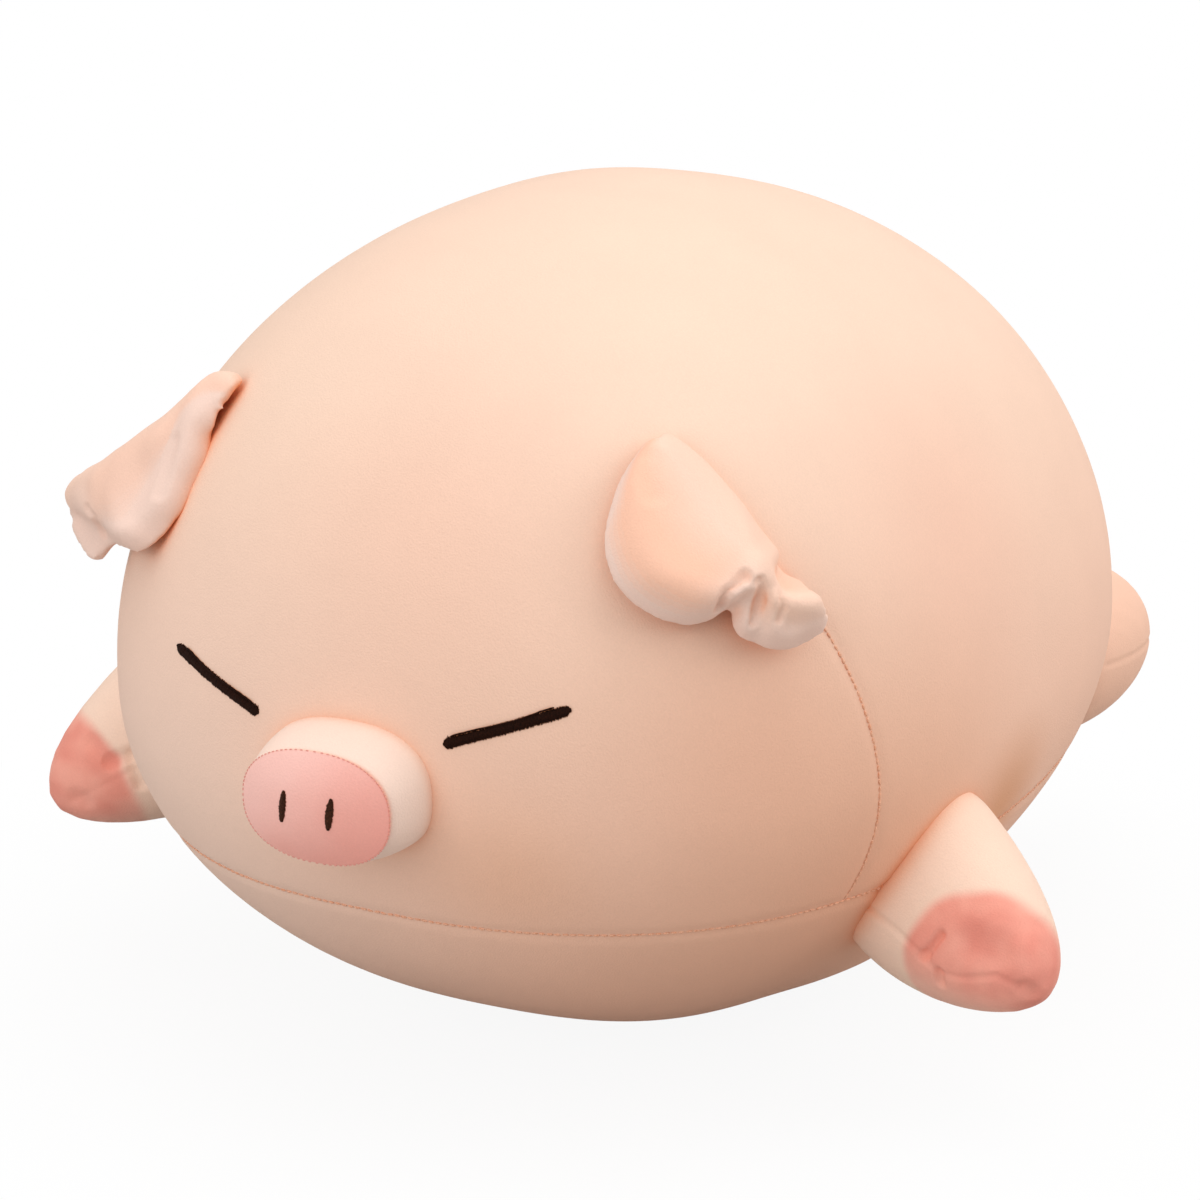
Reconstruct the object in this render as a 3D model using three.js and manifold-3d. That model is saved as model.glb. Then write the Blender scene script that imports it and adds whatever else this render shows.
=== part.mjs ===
// A plush pig lying on its belly: velour skin sewn round loose fibre filling, with a stuffed
// snout, two drooping ears, four stub legs and a small curled tail.
// Millimetres. +X is the pig's left, -Y the way its snout points and +Z up. The origin lies on
// the flat patch of belly that the pig rests on.
import * as THREE from 'three';
import { mergeVertices } from 'three/addons/utils/BufferGeometryUtils.js';
import Module from 'manifold-3d';

const wasm = await Module();
wasm.setup();

// Cloth and clearances
const skinThickness = 1.8;
const gap = 0.3;
const threadRadius = 0.5;
const embroideryHeight = 1;

// Body: one full, egg-like form, fattest at the girth and squashed flat where it rests
const body = {
  halfWidth: 176,
  frontLength: 218.5,
  backLength: 233,
  crownHeight: 187,
  bellyDepth: 147,
  girthHeight: 139,
  crownFullness: 0.986,
  bellyFullness: 1.072,
  planFullness: 0.816,
  lean: -0.074,
};
const bellySeamHeight = 89;
const bodySegments = 32;
const bodyRings = 13;

// Snout: an oval puck with a domed front panel
const snout = {
  height: 141.5,
  rimRise: 1.5,
  length: 22,
  domeHeight: 7.5,
  baseHalfWidth: 34.5,
  baseHalfHeight: 27.5,
  rimHalfWidth: 30,
  rimHalfHeight: 20.7,
  rootDepth: 14,
};
const snoutSegments = 20;
const snoutSideSteps = 2;
const snoutDomeSteps = 3;
const nostril = { spacing: 19, width: 3.2, height: 11, rise: 1, endRounding: 0.85 };

// Eyes: one straight bar of satin stitch each
const eye = { innerX: 38, innerHeight: 165, outerX: 80.5, outerHeight: 180, width: 4.6 };

// Ears: a soft flap hinged along a straight sewn root, arching out and then down over the cheek
const ear = {
  rootY: -142,
  rootHeight: 241,
  rootDirection: new THREE.Vector3(0.69, 0.137, -0.71),
  rootDepth: 2,
  rootLength: 70,
  reach: 57,
  rise: 24,
  wadding: 2,
  hemRadius: 3.1,
  hemClearance: 0.5,
  lift: 45,
  lean: 26,
  mouthDepth: 14,
  columns: 8,
  rows: 8,
  trimmedCells: 1,
};
const hemSegments = 10;
const slitSegments = 5;

// Legs: a stuffed stub on a round root that turns in a matching seat in the body
const frontLeg = {
  rootY: -54,
  rootHeight: 78,
  yaw: -36,
  pitch: -4,
  rootLift: 5,
  rootRadius: 40,
  length: 74,
  taper: 0.12,
};
const hindLeg = {
  rootY: 194,
  rootHeight: 94,
  yaw: 75,
  pitch: -3,
  rootLift: 5,
  rootRadius: 39,
  length: 67,
  taper: 0.12,
};
const seatClearance = 1.8;
const legSkinDepth = 30;
const legSegments = 14;
const legRootSteps = 3;
const legTipSteps = 5;
const seatSegments = 16;
const seatRings = 8;

// Tail: a tapering tube with one open curl; its root sinks in to meet the faceted skin
const tail = {
  height: 176,
  sink: 1.7,
  stem: 16,
  curlRadius: 10,
  curlTurn: 1.1,
  curlSpread: 14,
  rootRadius: 6,
  tipRadius: 4.2,
};
const tailSteps = 12;
const tailSegments = 8;
const tailCurlPoints = 9;

// Dart seams that run from each ear down to the belly seam
const dart = { topHeight: 208, topY: -134, bottomY: -111, bow: 4 };
const dartPoints = 8;

// The belly seam is traced in fine samples, and each thread takes every few of them
const seamSamples = 240;
const seamSamplesPerPoint = 8;
const seamClearance = 9;
const threadSegments = 3;

const skinPeach = new THREE.MeshStandardMaterial({ color: 0xf8d9c4, roughness: 0.95 });
const snoutPink = new THREE.MeshStandardMaterial({ color: 0xf4a99c, roughness: 0.95 });
const fillingWhite = new THREE.MeshStandardMaterial({ color: 0xf3f1ec, roughness: 1 });
const stitchBrown = new THREE.MeshStandardMaterial({ color: 0x2a150e, roughness: 0.6 });
const seamThread = new THREE.MeshStandardMaterial({ color: 0xe2a587, roughness: 0.7 });

const joinDistance = 1e-4;

function indexedGeometry(positions, index) {
  const geometry = new THREE.BufferGeometry();
  geometry.setAttribute('position', new THREE.Float32BufferAttribute(positions, 3));
  geometry.setIndex(index);
  return geometry;
}

// A closed form from rings of points; a ring of one point is a pole
function ringsGeometry(rings) {
  const positions = [];
  const starts = [];
  for (const ring of rings) {
    starts.push(positions.length / 3);
    for (const p of ring) positions.push(p.x, p.y, p.z);
  }
  const index = [];
  for (let r = 0; r + 1 < rings.length; r++) {
    const count = Math.max(rings[r].length, rings[r + 1].length);
    const low = (i) => starts[r] + (rings[r].length === 1 ? 0 : i % count);
    const high = (i) => starts[r + 1] + (rings[r + 1].length === 1 ? 0 : i % count);
    for (let i = 0; i < count; i++) {
      if (rings[r].length > 1) index.push(low(i), low(i + 1), high(i));
      if (rings[r + 1].length > 1) index.push(low(i + 1), high(i + 1), high(i));
    }
  }
  return indexedGeometry(positions, index);
}

// A closed slab between two faces that share one grid of cells
function slabGeometry(columns, rows, facePoint) {
  const positions = [];
  for (const face of [0, 1]) {
    for (let j = 0; j <= rows; j++) {
      for (let i = 0; i <= columns; i++) {
        const p = facePoint(i / columns, j / rows, face);
        positions.push(p.x, p.y, p.z);
      }
    }
  }
  const at = (i, j, face) => (face * (rows + 1) + j) * (columns + 1) + i;
  const index = [];
  const quad = (a, b, c, d) => index.push(a, b, c, a, c, d);
  for (let j = 0; j < rows; j++) {
    for (let i = 0; i < columns; i++) {
      quad(at(i, j, 0), at(i, j + 1, 0), at(i + 1, j + 1, 0), at(i + 1, j, 0));
      quad(at(i, j, 1), at(i + 1, j, 1), at(i + 1, j + 1, 1), at(i, j + 1, 1));
    }
  }
  for (let i = 0; i < columns; i++) {
    quad(at(i, 0, 0), at(i + 1, 0, 0), at(i + 1, 0, 1), at(i, 0, 1));
    quad(at(i, rows, 0), at(i, rows, 1), at(i + 1, rows, 1), at(i + 1, rows, 0));
  }
  for (let j = 0; j < rows; j++) {
    quad(at(0, j, 0), at(0, j, 1), at(0, j + 1, 1), at(0, j + 1, 0));
    quad(at(columns, j, 0), at(columns, j + 1, 0), at(columns, j + 1, 1), at(columns, j, 1));
  }
  return indexedGeometry(positions, index);
}

// Joins equal corners, leaves out collapsed triangles and turns the faces outward
function solid(geometry) {
  const plain = new THREE.BufferGeometry();
  plain.setAttribute('position', geometry.attributes.position);
  plain.setIndex(geometry.index);
  const merged = mergeVertices(plain, joinDistance);
  const place = merged.attributes.position;
  const corner = (k) => new THREE.Vector3().fromBufferAttribute(place, k);
  const kept = [];
  let volume = 0;
  for (let k = 0; k < merged.index.count; k += 3) {
    const [a, b, c] = [k, k + 1, k + 2].map((n) => merged.index.getX(n));
    if (a !== b && b !== c && c !== a) {
      kept.push(a, b, c);
      volume += corner(a).dot(corner(b).cross(corner(c)));
    }
  }
  if (volume < 0) kept.reverse();
  return new wasm.Manifold(new wasm.Mesh({
    numProp: 3,
    vertProperties: new Float32Array(place.array),
    triVerts: new Uint32Array(kept),
  }));
}

function geometryOf(piece) {
  const mesh = piece.getMesh();
  const geometry = new THREE.BufferGeometry();
  geometry.setAttribute('position', new THREE.BufferAttribute(mesh.vertProperties, 3));
  geometry.setIndex(new THREE.BufferAttribute(mesh.triVerts, 1));
  return geometry;
}

function named(name, piece, material) {
  const geometry = geometryOf(piece);
  geometry.computeVertexNormals();
  const mesh = new THREE.Mesh(geometry, material);
  mesh.name = name;
  return mesh;
}

// A block that fills everything past a level along one axis, for cutting
const blockSize = 1400;
function blockPast(axis, level, sign) {
  const block = new THREE.BoxGeometry(blockSize, blockSize, blockSize);
  const shift = new THREE.Vector3();
  shift[axis] = level + sign * blockSize / 2;
  return solid(block.translate(shift.x, shift.y, shift.z));
}

// Body surface
const signedPower = (base, power) => Math.sign(base) * Math.abs(base) ** power;
const planPower = 2 / body.planFullness;
const fullnessAt = (z) => (z > 0 ? body.crownFullness : body.bellyFullness);
const depthAt = (z) => (z > 0 ? body.crownHeight : body.bellyDepth);
const lengthAt = (y) => (y < 0 ? body.frontLength : body.backLength);

function bodyNormal(point) {
  const z = point.z - body.girthHeight;
  const y = point.y - body.lean * z;
  const across = Math.abs(point.x / body.halfWidth);
  const along = Math.abs(y / lengthAt(y));
  const plan = across ** planPower + along ** planPower;
  if (plan < 1e-9) return new THREE.Vector3(0, 0, Math.sign(z));
  const share = plan ** (body.planFullness / fullnessAt(z) - 1) * 2 / fullnessAt(z);
  const slopeX = share * across ** (planPower - 1) * Math.sign(point.x) / body.halfWidth;
  const slopeY = share * along ** (planPower - 1) * Math.sign(y) / lengthAt(y);
  const upPower = 2 / fullnessAt(z);
  const slopeZ = upPower * Math.abs(z / depthAt(z)) ** (upPower - 1) * Math.sign(z) / depthAt(z);
  return new THREE.Vector3(slopeX, slopeY, slopeZ - body.lean * slopeY).normalize();
}

function bodyPoint(around, rise, offset) {
  const z = depthAt(rise) * signedPower(Math.sin(rise), fullnessAt(rise));
  const reach = signedPower(Math.cos(rise), fullnessAt(rise));
  const x = body.halfWidth * reach * signedPower(Math.sin(around), body.planFullness);
  const forward = Math.cos(around);
  const y = -lengthAt(-forward) * reach * signedPower(forward, body.planFullness);
  const point = new THREE.Vector3(x, y + body.lean * z, z + body.girthHeight);
  return point.addScaledVector(bodyNormal(point), offset);
}

// How much of the plan outline is left at a height, as the sum of its two powers
function planShare(height) {
  const z = height - body.girthHeight;
  const level = Math.abs(z / depthAt(z)) ** (2 / fullnessAt(z));
  return (1 - level) ** (fullnessAt(z) / body.planFullness);
}

function onSide(y, height) {
  const along = y - body.lean * (height - body.girthHeight);
  const rest = planShare(height) - Math.abs(along / lengthAt(along)) ** planPower;
  return new THREE.Vector3(body.halfWidth * rest ** (1 / planPower), y, height);
}

function onFront(x, height) {
  const rest = planShare(height) - Math.abs(x / body.halfWidth) ** planPower;
  const y = -body.frontLength * rest ** (1 / planPower);
  return new THREE.Vector3(x, y + body.lean * (height - body.girthHeight), height);
}

function onBack(height) {
  const y = body.backLength * planShare(height) ** (1 / planPower);
  return new THREE.Vector3(0, y + body.lean * (height - body.girthHeight), height);
}

// The whole body form at an offset from the skin's outer face, cut flat underneath
function bodySolid(offset) {
  const rings = [];
  for (let r = 0; r <= bodyRings; r++) {
    const rise = Math.PI * (r / bodyRings - 0.5);
    const pole = r === 0 || r === bodyRings;
    const ring = [];
    for (let i = 0; i < (pole ? 1 : bodySegments); i++) {
      ring.push(bodyPoint(2 * Math.PI * i / bodySegments, rise, offset));
    }
    rings.push(ring);
  }
  return solid(ringsGeometry(rings)).subtract(blockPast('z', -offset, -1));
}

// A leg's own frame: +X along the leg, +Z its upper side, the origin at its round root's centre
function legPlace(leg, side) {
  const yaw = THREE.MathUtils.degToRad(leg.yaw);
  const pitch = THREE.MathUtils.degToRad(leg.pitch);
  const root = onSide(leg.rootY, leg.rootHeight);
  root.addScaledVector(bodyNormal(root), leg.rootLift);
  const direction = new THREE.Vector3(Math.cos(pitch), 0, Math.sin(pitch));
  direction.applyAxisAngle(new THREE.Vector3(0, 0, 1), yaw);
  root.x *= side;
  direction.x *= side;
  const level = new THREE.Vector3(0, 0, 1).cross(direction).normalize();
  const upper = direction.clone().cross(level);
  const place = new THREE.Matrix4().makeBasis(direction, level, upper);
  return place.setPosition(root);
}

function legForm(leg, inset) {
  const profile = [];
  for (let k = 0; k < legRootSteps; k++) {
    const turn = Math.PI / 2 * (k / legRootSteps - 1);
    profile.push(new THREE.Vector2(Math.cos(turn), Math.sin(turn)).multiplyScalar(leg.rootRadius - inset));
  }
  for (let k = 0; k <= legTipSteps; k++) {
    const turn = Math.PI / 2 * k / legTipSteps;
    const narrowing = 1 - leg.taper * Math.sin(Math.PI * Math.sin(turn));
    const radius = (leg.rootRadius - inset) * Math.cos(turn) * narrowing;
    profile.push(new THREE.Vector2(radius, (leg.length - inset) * Math.sin(turn)));
  }
  profile[0].x = 0;
  profile[profile.length - 1].x = 0;
  return solid(new THREE.LatheGeometry(profile, legSegments).rotateZ(-Math.PI / 2));
}

function makeLeg(name, leg, side) {
  const whole = legForm(leg, 0);
  const shell = whole.subtract(legForm(leg, skinThickness)).subtract(blockPast('x', -legSkinDepth, -1));
  const core = legForm(leg, skinThickness + gap);
  const root = whole.subtract(blockPast('x', -legSkinDepth - gap, 1));
  const group = new THREE.Group();
  group.applyMatrix4(legPlace(leg, side));
  group.add(
    named(`${name}_upper_panel`, shell.subtract(blockPast('z', gap / 2, -1)), skinPeach),
    named(`${name}_lower_panel`, shell.subtract(blockPast('z', -gap / 2, 1)), skinPeach),
    named(`${name}_filling`, core.add(root), fillingWhite),
  );
  return group;
}

// The hollow in the body that a leg's round root turns in
function legSeat(leg, side) {
  const ball = new THREE.SphereGeometry(leg.rootRadius + seatClearance, seatSegments, seatRings);
  return solid(ball.applyMatrix4(legPlace(leg, side)));
}

// An ear's own frame: X along its sewn root, Y outward and Z forward over the cheek
function earPlace(side) {
  const root = onSide(ear.rootY, ear.rootHeight);
  const outward = bodyNormal(root);
  const along = ear.rootDirection.clone().projectOnPlane(outward).normalize();
  const forward = along.clone().cross(outward);
  root.addScaledVector(outward, -ear.rootDepth);
  for (const v of [root, outward, along, forward]) v.x *= side;
  const place = new THREE.Matrix4().makeBasis(along.multiplyScalar(side), outward, forward);
  return place.setPosition(root);
}

// The ear's middle surface. Each long line runs from its upper end to its lower end, as shares of
// half the root, of the rise and of the reach; the rim is pinched up near the lower end.
const earLines = {
  ridge: [
    [-1.2, 0.3, 0.25], [-0.6, 0.4, 0.18], [-0.11, 0.55, 0.21],
    [0.34, 0.75, 0.25], [0.8, 0.92, 0.25], [1.31, 0.96, 0.21],
  ],
  rim: [
    [-0.92, 0.04, 0.72], [-0.51, 0.04, 0.89], [0.06, 0.04, 1],
    [0.4, 0.12, 0.88], [0.69, 0.62, 0.65], [1.32, 0.33, 0.47],
  ],
};
const earRise = { outward: 3, back: 2 };
const earFall = { outward: 3, forward: 3 };

function earCurve(shares) {
  const half = ear.rootLength / 2;
  const place = ([along, outward, forward]) => (
    new THREE.Vector3(along * half, outward * ear.rise, forward * ear.reach)
  );
  return new THREE.CatmullRomCurve3(shares.map(place));
}
const ridgeCurve = earCurve(earLines.ridge);
const rimCurve = earCurve(earLines.rim);

function earPoint(u, v) {
  const root = new THREE.Vector3((u - 0.5) * ear.rootLength, 0, 0);
  const ridge = ridgeCurve.getPoint(u);
  const rim = rimCurve.getPoint(u);
  const rise = root.clone().lerp(ridge, 0.5).add(new THREE.Vector3(0, earRise.outward, -earRise.back));
  const fall = ridge.clone().lerp(rim, 0.5).add(new THREE.Vector3(0, earFall.outward, earFall.forward));
  return new THREE.CatmullRomCurve3([root, rise, ridge, fall, rim]).getPoint(v);
}

// One layer of the ear between two offsets from its middle surface. All layers share one grid, so
// their facets lie parallel; a trimmed layer leaves out that many cells along the free edges.
function earLayer(low, high, trim) {
  const nearby = 1e-3;
  const columns = ear.columns - 2 * trim;
  const rows = ear.rows - trim;
  const point = (acrossShare, downShare, face) => {
    const across = (trim + acrossShare * columns) / ear.columns;
    const down = downShare * rows / ear.rows;
    const [u0, u1] = [Math.max(across - nearby, 0), Math.min(across + nearby, 1)];
    const [v0, v1] = [Math.max(down - nearby, 0), Math.min(down + nearby, 1)];
    const alongU = earPoint(u1, down).sub(earPoint(u0, down));
    const alongV = earPoint(across, v1).sub(earPoint(across, v0));
    const outward = alongV.cross(alongU).normalize();
    return earPoint(across, down).addScaledVector(outward, face ? high : low);
  };
  return solid(slabGeometry(columns, rows, point));
}

function hemRod(radius, length) {
  return solid(new THREE.CylinderGeometry(radius, radius, length, hemSegments).rotateZ(Math.PI / 2));
}

function makeEar(name, side) {
  const core = ear.wadding / 2;
  const hem = hemRod(ear.hemRadius, ear.rootLength);
  const clearHem = hemRod(ear.hemRadius + gap, ear.rootLength * 2);
  const outer = earLayer(core + gap, core + gap + skinThickness, 0).add(hem);
  const inner = earLayer(-core - gap - skinThickness, -core - gap, 0).subtract(clearHem);
  const wadding = earLayer(-core, core, ear.trimmedCells).subtract(clearHem);
  const group = new THREE.Group();
  group.applyMatrix4(earPlace(side));
  const sided = (piece) => (side > 0 ? piece : piece.mirror([1, 0, 0]));
  group.add(
    named(`${name}_outer_panel`, sided(outer), skinPeach),
    named(`${name}_inner_panel`, sided(inner), skinPeach),
    named(`${name}_wadding`, sided(wadding), fillingWhite),
  );
  return group;
}

// The slit in the body that an ear's hem lies in, open over the whole lift of the ear. Its outline
// is drawn with X forward and Y outward, then run along the root.
function earSlit(side) {
  const radius = ear.hemRadius + ear.hemClearance;
  const length = ear.rootLength + 2 * ear.hemClearance;
  const rest = THREE.MathUtils.degToRad(ear.lean);
  const lifted = THREE.MathUtils.degToRad(ear.lean - ear.lift);
  const corner = (lean, up, beside) => new THREE.Vector2(beside, up).rotateAround(new THREE.Vector2(), -lean);
  const outline = new THREE.Shape([
    corner(rest, 0, radius),
    corner(rest, ear.mouthDepth, radius),
    corner(lifted, ear.mouthDepth, -radius),
    corner(lifted, 0, -radius),
  ]);
  outline.absarc(0, 0, radius, Math.PI - lifted, 2 * Math.PI - rest, false);
  const run = { depth: length, bevelEnabled: false, curveSegments: slitSegments };
  const slit = new THREE.ExtrudeGeometry(outline, run);
  slit.translate(0, 0, -length / 2).rotateY(-Math.PI / 2);
  return solid(slit.applyMatrix4(earPlace(side)));
}

// Snout, as rings of ovals along -Y
const faceY = onFront(0, snout.height).y;
const rimY = faceY - snout.length;
function domeY(share) {
  return rimY - snout.domeHeight * (1 - share * share);
}

function snoutOval(halfWidth, halfHeight, y, rise) {
  const ring = [];
  for (let i = 0; i < snoutSegments; i++) {
    const turn = 2 * Math.PI * i / snoutSegments;
    const height = snout.height + rise + halfHeight * Math.sin(turn);
    ring.push(new THREE.Vector3(halfWidth * Math.cos(turn), y, height));
  }
  return ring;
}

function snoutForm(inset) {
  const { lerp } = THREE.MathUtils;
  const rootY = faceY + snout.rootDepth;
  const rings = [[new THREE.Vector3(0, rootY, snout.height)]];
  for (let k = 0; k <= snoutSideSteps; k++) {
    const t = k / snoutSideSteps;
    const halfWidth = lerp(snout.baseHalfWidth, snout.rimHalfWidth, t * t) - inset;
    const halfHeight = lerp(snout.baseHalfHeight, snout.rimHalfHeight, t * t) - inset;
    rings.push(snoutOval(halfWidth, halfHeight, lerp(rootY, rimY, t), snout.rimRise * t));
  }
  for (let k = 1; k < snoutDomeSteps; k++) {
    const share = 1 - k / snoutDomeSteps;
    const halfWidth = (snout.rimHalfWidth - inset) * share;
    const halfHeight = (snout.rimHalfHeight - inset) * share;
    rings.push(snoutOval(halfWidth, halfHeight, domeY(share) + inset, snout.rimRise));
  }
  rings.push([new THREE.Vector3(0, domeY(0) + inset, snout.height + snout.rimRise)]);
  return solid(ringsGeometry(rings));
}

function makeSnout(clearBody) {
  const shell = snoutForm(0).subtract(snoutForm(skinThickness)).subtract(clearBody);
  const filling = snoutForm(skinThickness + gap).subtract(clearBody);
  return [
    named('snout_side_band', shell.subtract(blockPast('y', rimY + gap / 2, -1)), skinPeach),
    named('snout_front_panel', shell.subtract(blockPast('y', rimY - gap / 2, 1)), snoutPink),
    named('snout_filling', filling, fillingWhite),
  ];
}

// A raised patch of stitching: its outline in X and Z, laid on a surface y(x, z)
function stitchedPatch(name, columns, rows, spot, surfaceY) {
  const facePoint = (u, v, face) => {
    const [x, z] = spot(u, v);
    return new THREE.Vector3(x, surfaceY(x, z) - gap - face * embroideryHeight, z);
  };
  return named(name, solid(slabGeometry(columns, rows, facePoint)), stitchBrown);
}

function makeEye(name, side) {
  const run = new THREE.Vector2(eye.outerX - eye.innerX, eye.outerHeight - eye.innerHeight);
  const across = new THREE.Vector2(-run.y, run.x).normalize().multiplyScalar(eye.width);
  const spot = (u, v) => [
    side * (eye.innerX + run.x * u + across.x * (v - 0.5)),
    eye.innerHeight + run.y * u + across.y * (v - 0.5),
  ];
  const columns = 6;
  return stitchedPatch(name, columns, 1, spot, (x, z) => onFront(x, z).y);
}

function makeNostril(name, side) {
  const centreZ = snout.height + snout.rimRise + nostril.rise;
  const spot = (u, v) => {
    const along = 2 * u - 1;
    const halfWidth = nostril.width / 2 * Math.sqrt(1 - nostril.endRounding * along * along);
    return [side * nostril.spacing / 2 + (2 * v - 1) * halfWidth, centreZ + along * nostril.height / 2];
  };
  const frontY = (x, z) => {
    const height = z - snout.height - snout.rimRise;
    return domeY(Math.hypot(x / snout.rimHalfWidth, height / snout.rimHalfHeight));
  };
  const columns = 6;
  return stitchedPatch(name, columns, 2, spot, frontY);
}

// Tail: a tube of rings along a stem that turns into a rising curl, round at both ends
const tailRoot = onBack(tail.height);
tailRoot.addScaledVector(bodyNormal(tailRoot), tail.rootRadius + gap - tail.sink);

function tailCurve() {
  const points = [tailRoot.clone(), tailRoot.clone().add(new THREE.Vector3(0, tail.stem, 0))];
  for (let k = 1; k <= tailCurlPoints; k++) {
    const share = k / tailCurlPoints;
    const turn = 2 * Math.PI * tail.curlTurn * share;
    points.push(tailRoot.clone().add(new THREE.Vector3(
      tail.curlSpread * share,
      tail.stem + tail.curlRadius * Math.sin(turn),
      tail.curlRadius * (1 - Math.cos(turn)),
    )));
  }
  return new THREE.CatmullRomCurve3(points);
}

function tailForm(inset) {
  const curve = tailCurve();
  const frames = curve.computeFrenetFrames(tailSteps);
  const rings = [];
  const addRing = (k, shift, scale) => {
    const t = k / tailSteps;
    const radius = THREE.MathUtils.lerp(tail.rootRadius, tail.tipRadius, t) - inset;
    const centre = curve.getPointAt(t).addScaledVector(frames.tangents[k], shift * radius);
    const ring = [];
    for (let i = 0; i < (scale ? tailSegments : 1); i++) {
      const turn = 2 * Math.PI * i / tailSegments;
      ring.push(centre.clone()
        .addScaledVector(frames.normals[k], scale * radius * Math.cos(turn))
        .addScaledVector(frames.binormals[k], scale * radius * Math.sin(turn)));
    }
    rings.push(ring);
  };
  addRing(0, -1, 0);
  addRing(0, -Math.SQRT1_2, Math.SQRT1_2);
  for (let k = 0; k <= tailSteps; k++) addRing(k, 0, 1);
  addRing(tailSteps, Math.SQRT1_2, Math.SQRT1_2);
  addRing(tailSteps, 1, 0);
  return solid(ringsGeometry(rings));
}

function makeTail() {
  const skinStart = tailRoot.y - tail.rootRadius / 2;
  const shell = tailForm(0).subtract(tailForm(skinThickness)).subtract(blockPast('y', skinStart, -1));
  const root = tailForm(0).subtract(blockPast('y', skinStart - gap, 1));
  return [
    named('tail_skin', shell, skinPeach),
    named('tail_filling', tailForm(skinThickness + gap).add(root), fillingWhite),
  ];
}

// Seam threads lie on the skin as thin tubes
function makeThread(name, points, steps) {
  const section = new THREE.Shape().absarc(0, 0, threadRadius, 0, 2 * Math.PI);
  const extrudePath = new THREE.CatmullRomCurve3(points);
  const tube = new THREE.ExtrudeGeometry(section, { steps, extrudePath, curveSegments: threadSegments });
  return named(name, solid(tube), seamThread);
}

function onSkin(point) {
  return point.clone().addScaledVector(bodyNormal(point), threadRadius + gap);
}

// The belly seam runs round the body and stops short of each leg
function bellySeamRuns(legCentres) {
  const reach = planShare(bellySeamHeight) ** (1 / planPower);
  const runs = [[]];
  for (let k = 0; k <= seamSamples; k++) {
    const around = 2 * Math.PI * (k / seamSamples - 0.5);
    const forward = Math.cos(around);
    const point = new THREE.Vector3(
      body.halfWidth * reach * signedPower(Math.sin(around), body.planFullness),
      -lengthAt(-forward) * reach * signedPower(forward, body.planFullness)
        + body.lean * (bellySeamHeight - body.girthHeight),
      bellySeamHeight,
    );
    const clear = legCentres.every(({ centre, radius }) => point.distanceTo(centre) > radius + seamClearance);
    if (clear) runs[runs.length - 1].push(onSkin(point));
    else if (runs[runs.length - 1].length) runs.push([]);
  }
  const [first, last] = [runs[0], runs[runs.length - 1]];
  if (runs.length > 1 && last.length) {
    runs[0] = [...last.slice(0, -1), ...first];
    runs.pop();
  }
  return runs.filter((run) => run.length > 2);
}

function seamPlaceName(point) {
  if (point.x > body.halfWidth / 2) return 'left';
  if (point.x < -body.halfWidth / 2) return 'right';
  return point.y < 0 ? 'front' : 'back';
}

function makeBellySeams(legCentres) {
  return bellySeamRuns(legCentres).map((run) => {
    const name = seamPlaceName(run[Math.floor(run.length / 2)]);
    const points = run.filter((_, k) => k % seamSamplesPerPoint === 0 || k === run.length - 1);
    return makeThread(`belly_seam_${name}`, points, 2 * points.length);
  });
}

function makeDartSeam(name, side) {
  const points = [];
  const bottomHeight = bellySeamHeight + 2 * threadRadius + gap;
  for (let k = 0; k <= dartPoints; k++) {
    const t = k / dartPoints;
    const height = THREE.MathUtils.lerp(dart.topHeight, bottomHeight, t);
    const y = THREE.MathUtils.lerp(dart.topY, dart.bottomY, t) + dart.bow * Math.sin(Math.PI * t);
    const point = onSkin(onSide(y, height));
    point.x *= side;
    points.push(point);
  }
  return makeThread(name, points, 2 * dartPoints);
}

const pig = new THREE.Group();
const sides = [['left', 1], ['right', -1]];
const legs = [['front_leg', frontLeg], ['hind_leg', hindLeg]];

const cuts = [];
const legCentres = [];
for (const [sideName, side] of sides) {
  cuts.push(earSlit(side));
  pig.add(makeEar(`ear_${sideName}`, side));
  pig.add(makeEye(`eye_${sideName}`, side));
  pig.add(makeNostril(`nostril_${sideName}`, side));
  pig.add(makeDartSeam(`dart_seam_${sideName}`, side));
  for (const [legName, leg] of legs) {
    cuts.push(legSeat(leg, side));
    pig.add(makeLeg(`${legName}_${sideName}`, leg, side));
    const centre = new THREE.Vector3().setFromMatrixPosition(legPlace(leg, side));
    legCentres.push({ centre, radius: leg.rootRadius });
  }
}

const cut = (piece) => cuts.reduce((rest, tool) => rest.subtract(tool), piece);
const skin = cut(bodySolid(0).subtract(bodySolid(-skinThickness)));
const upperSkin = skin.subtract(blockPast('z', bellySeamHeight + gap / 2, -1));
const bellySkin = skin.subtract(blockPast('z', bellySeamHeight - gap / 2, 1));
pig.add(
  named('body_upper_skin', upperSkin, skinPeach),
  named('body_belly_skin', bellySkin, skinPeach),
  named('body_filling', cut(bodySolid(-skinThickness - gap)), fillingWhite),
  ...makeSnout(bodySolid(gap)),
  ...makeTail(),
  ...makeBellySeams(legCentres),
);

export default pig;
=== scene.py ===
import math
import random

import bmesh
import bpy
import numpy as np
from mathutils import Matrix, Vector, noise
from mathutils.bvhtree import BVHTree
from mathutils.kdtree import KDTree


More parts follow.
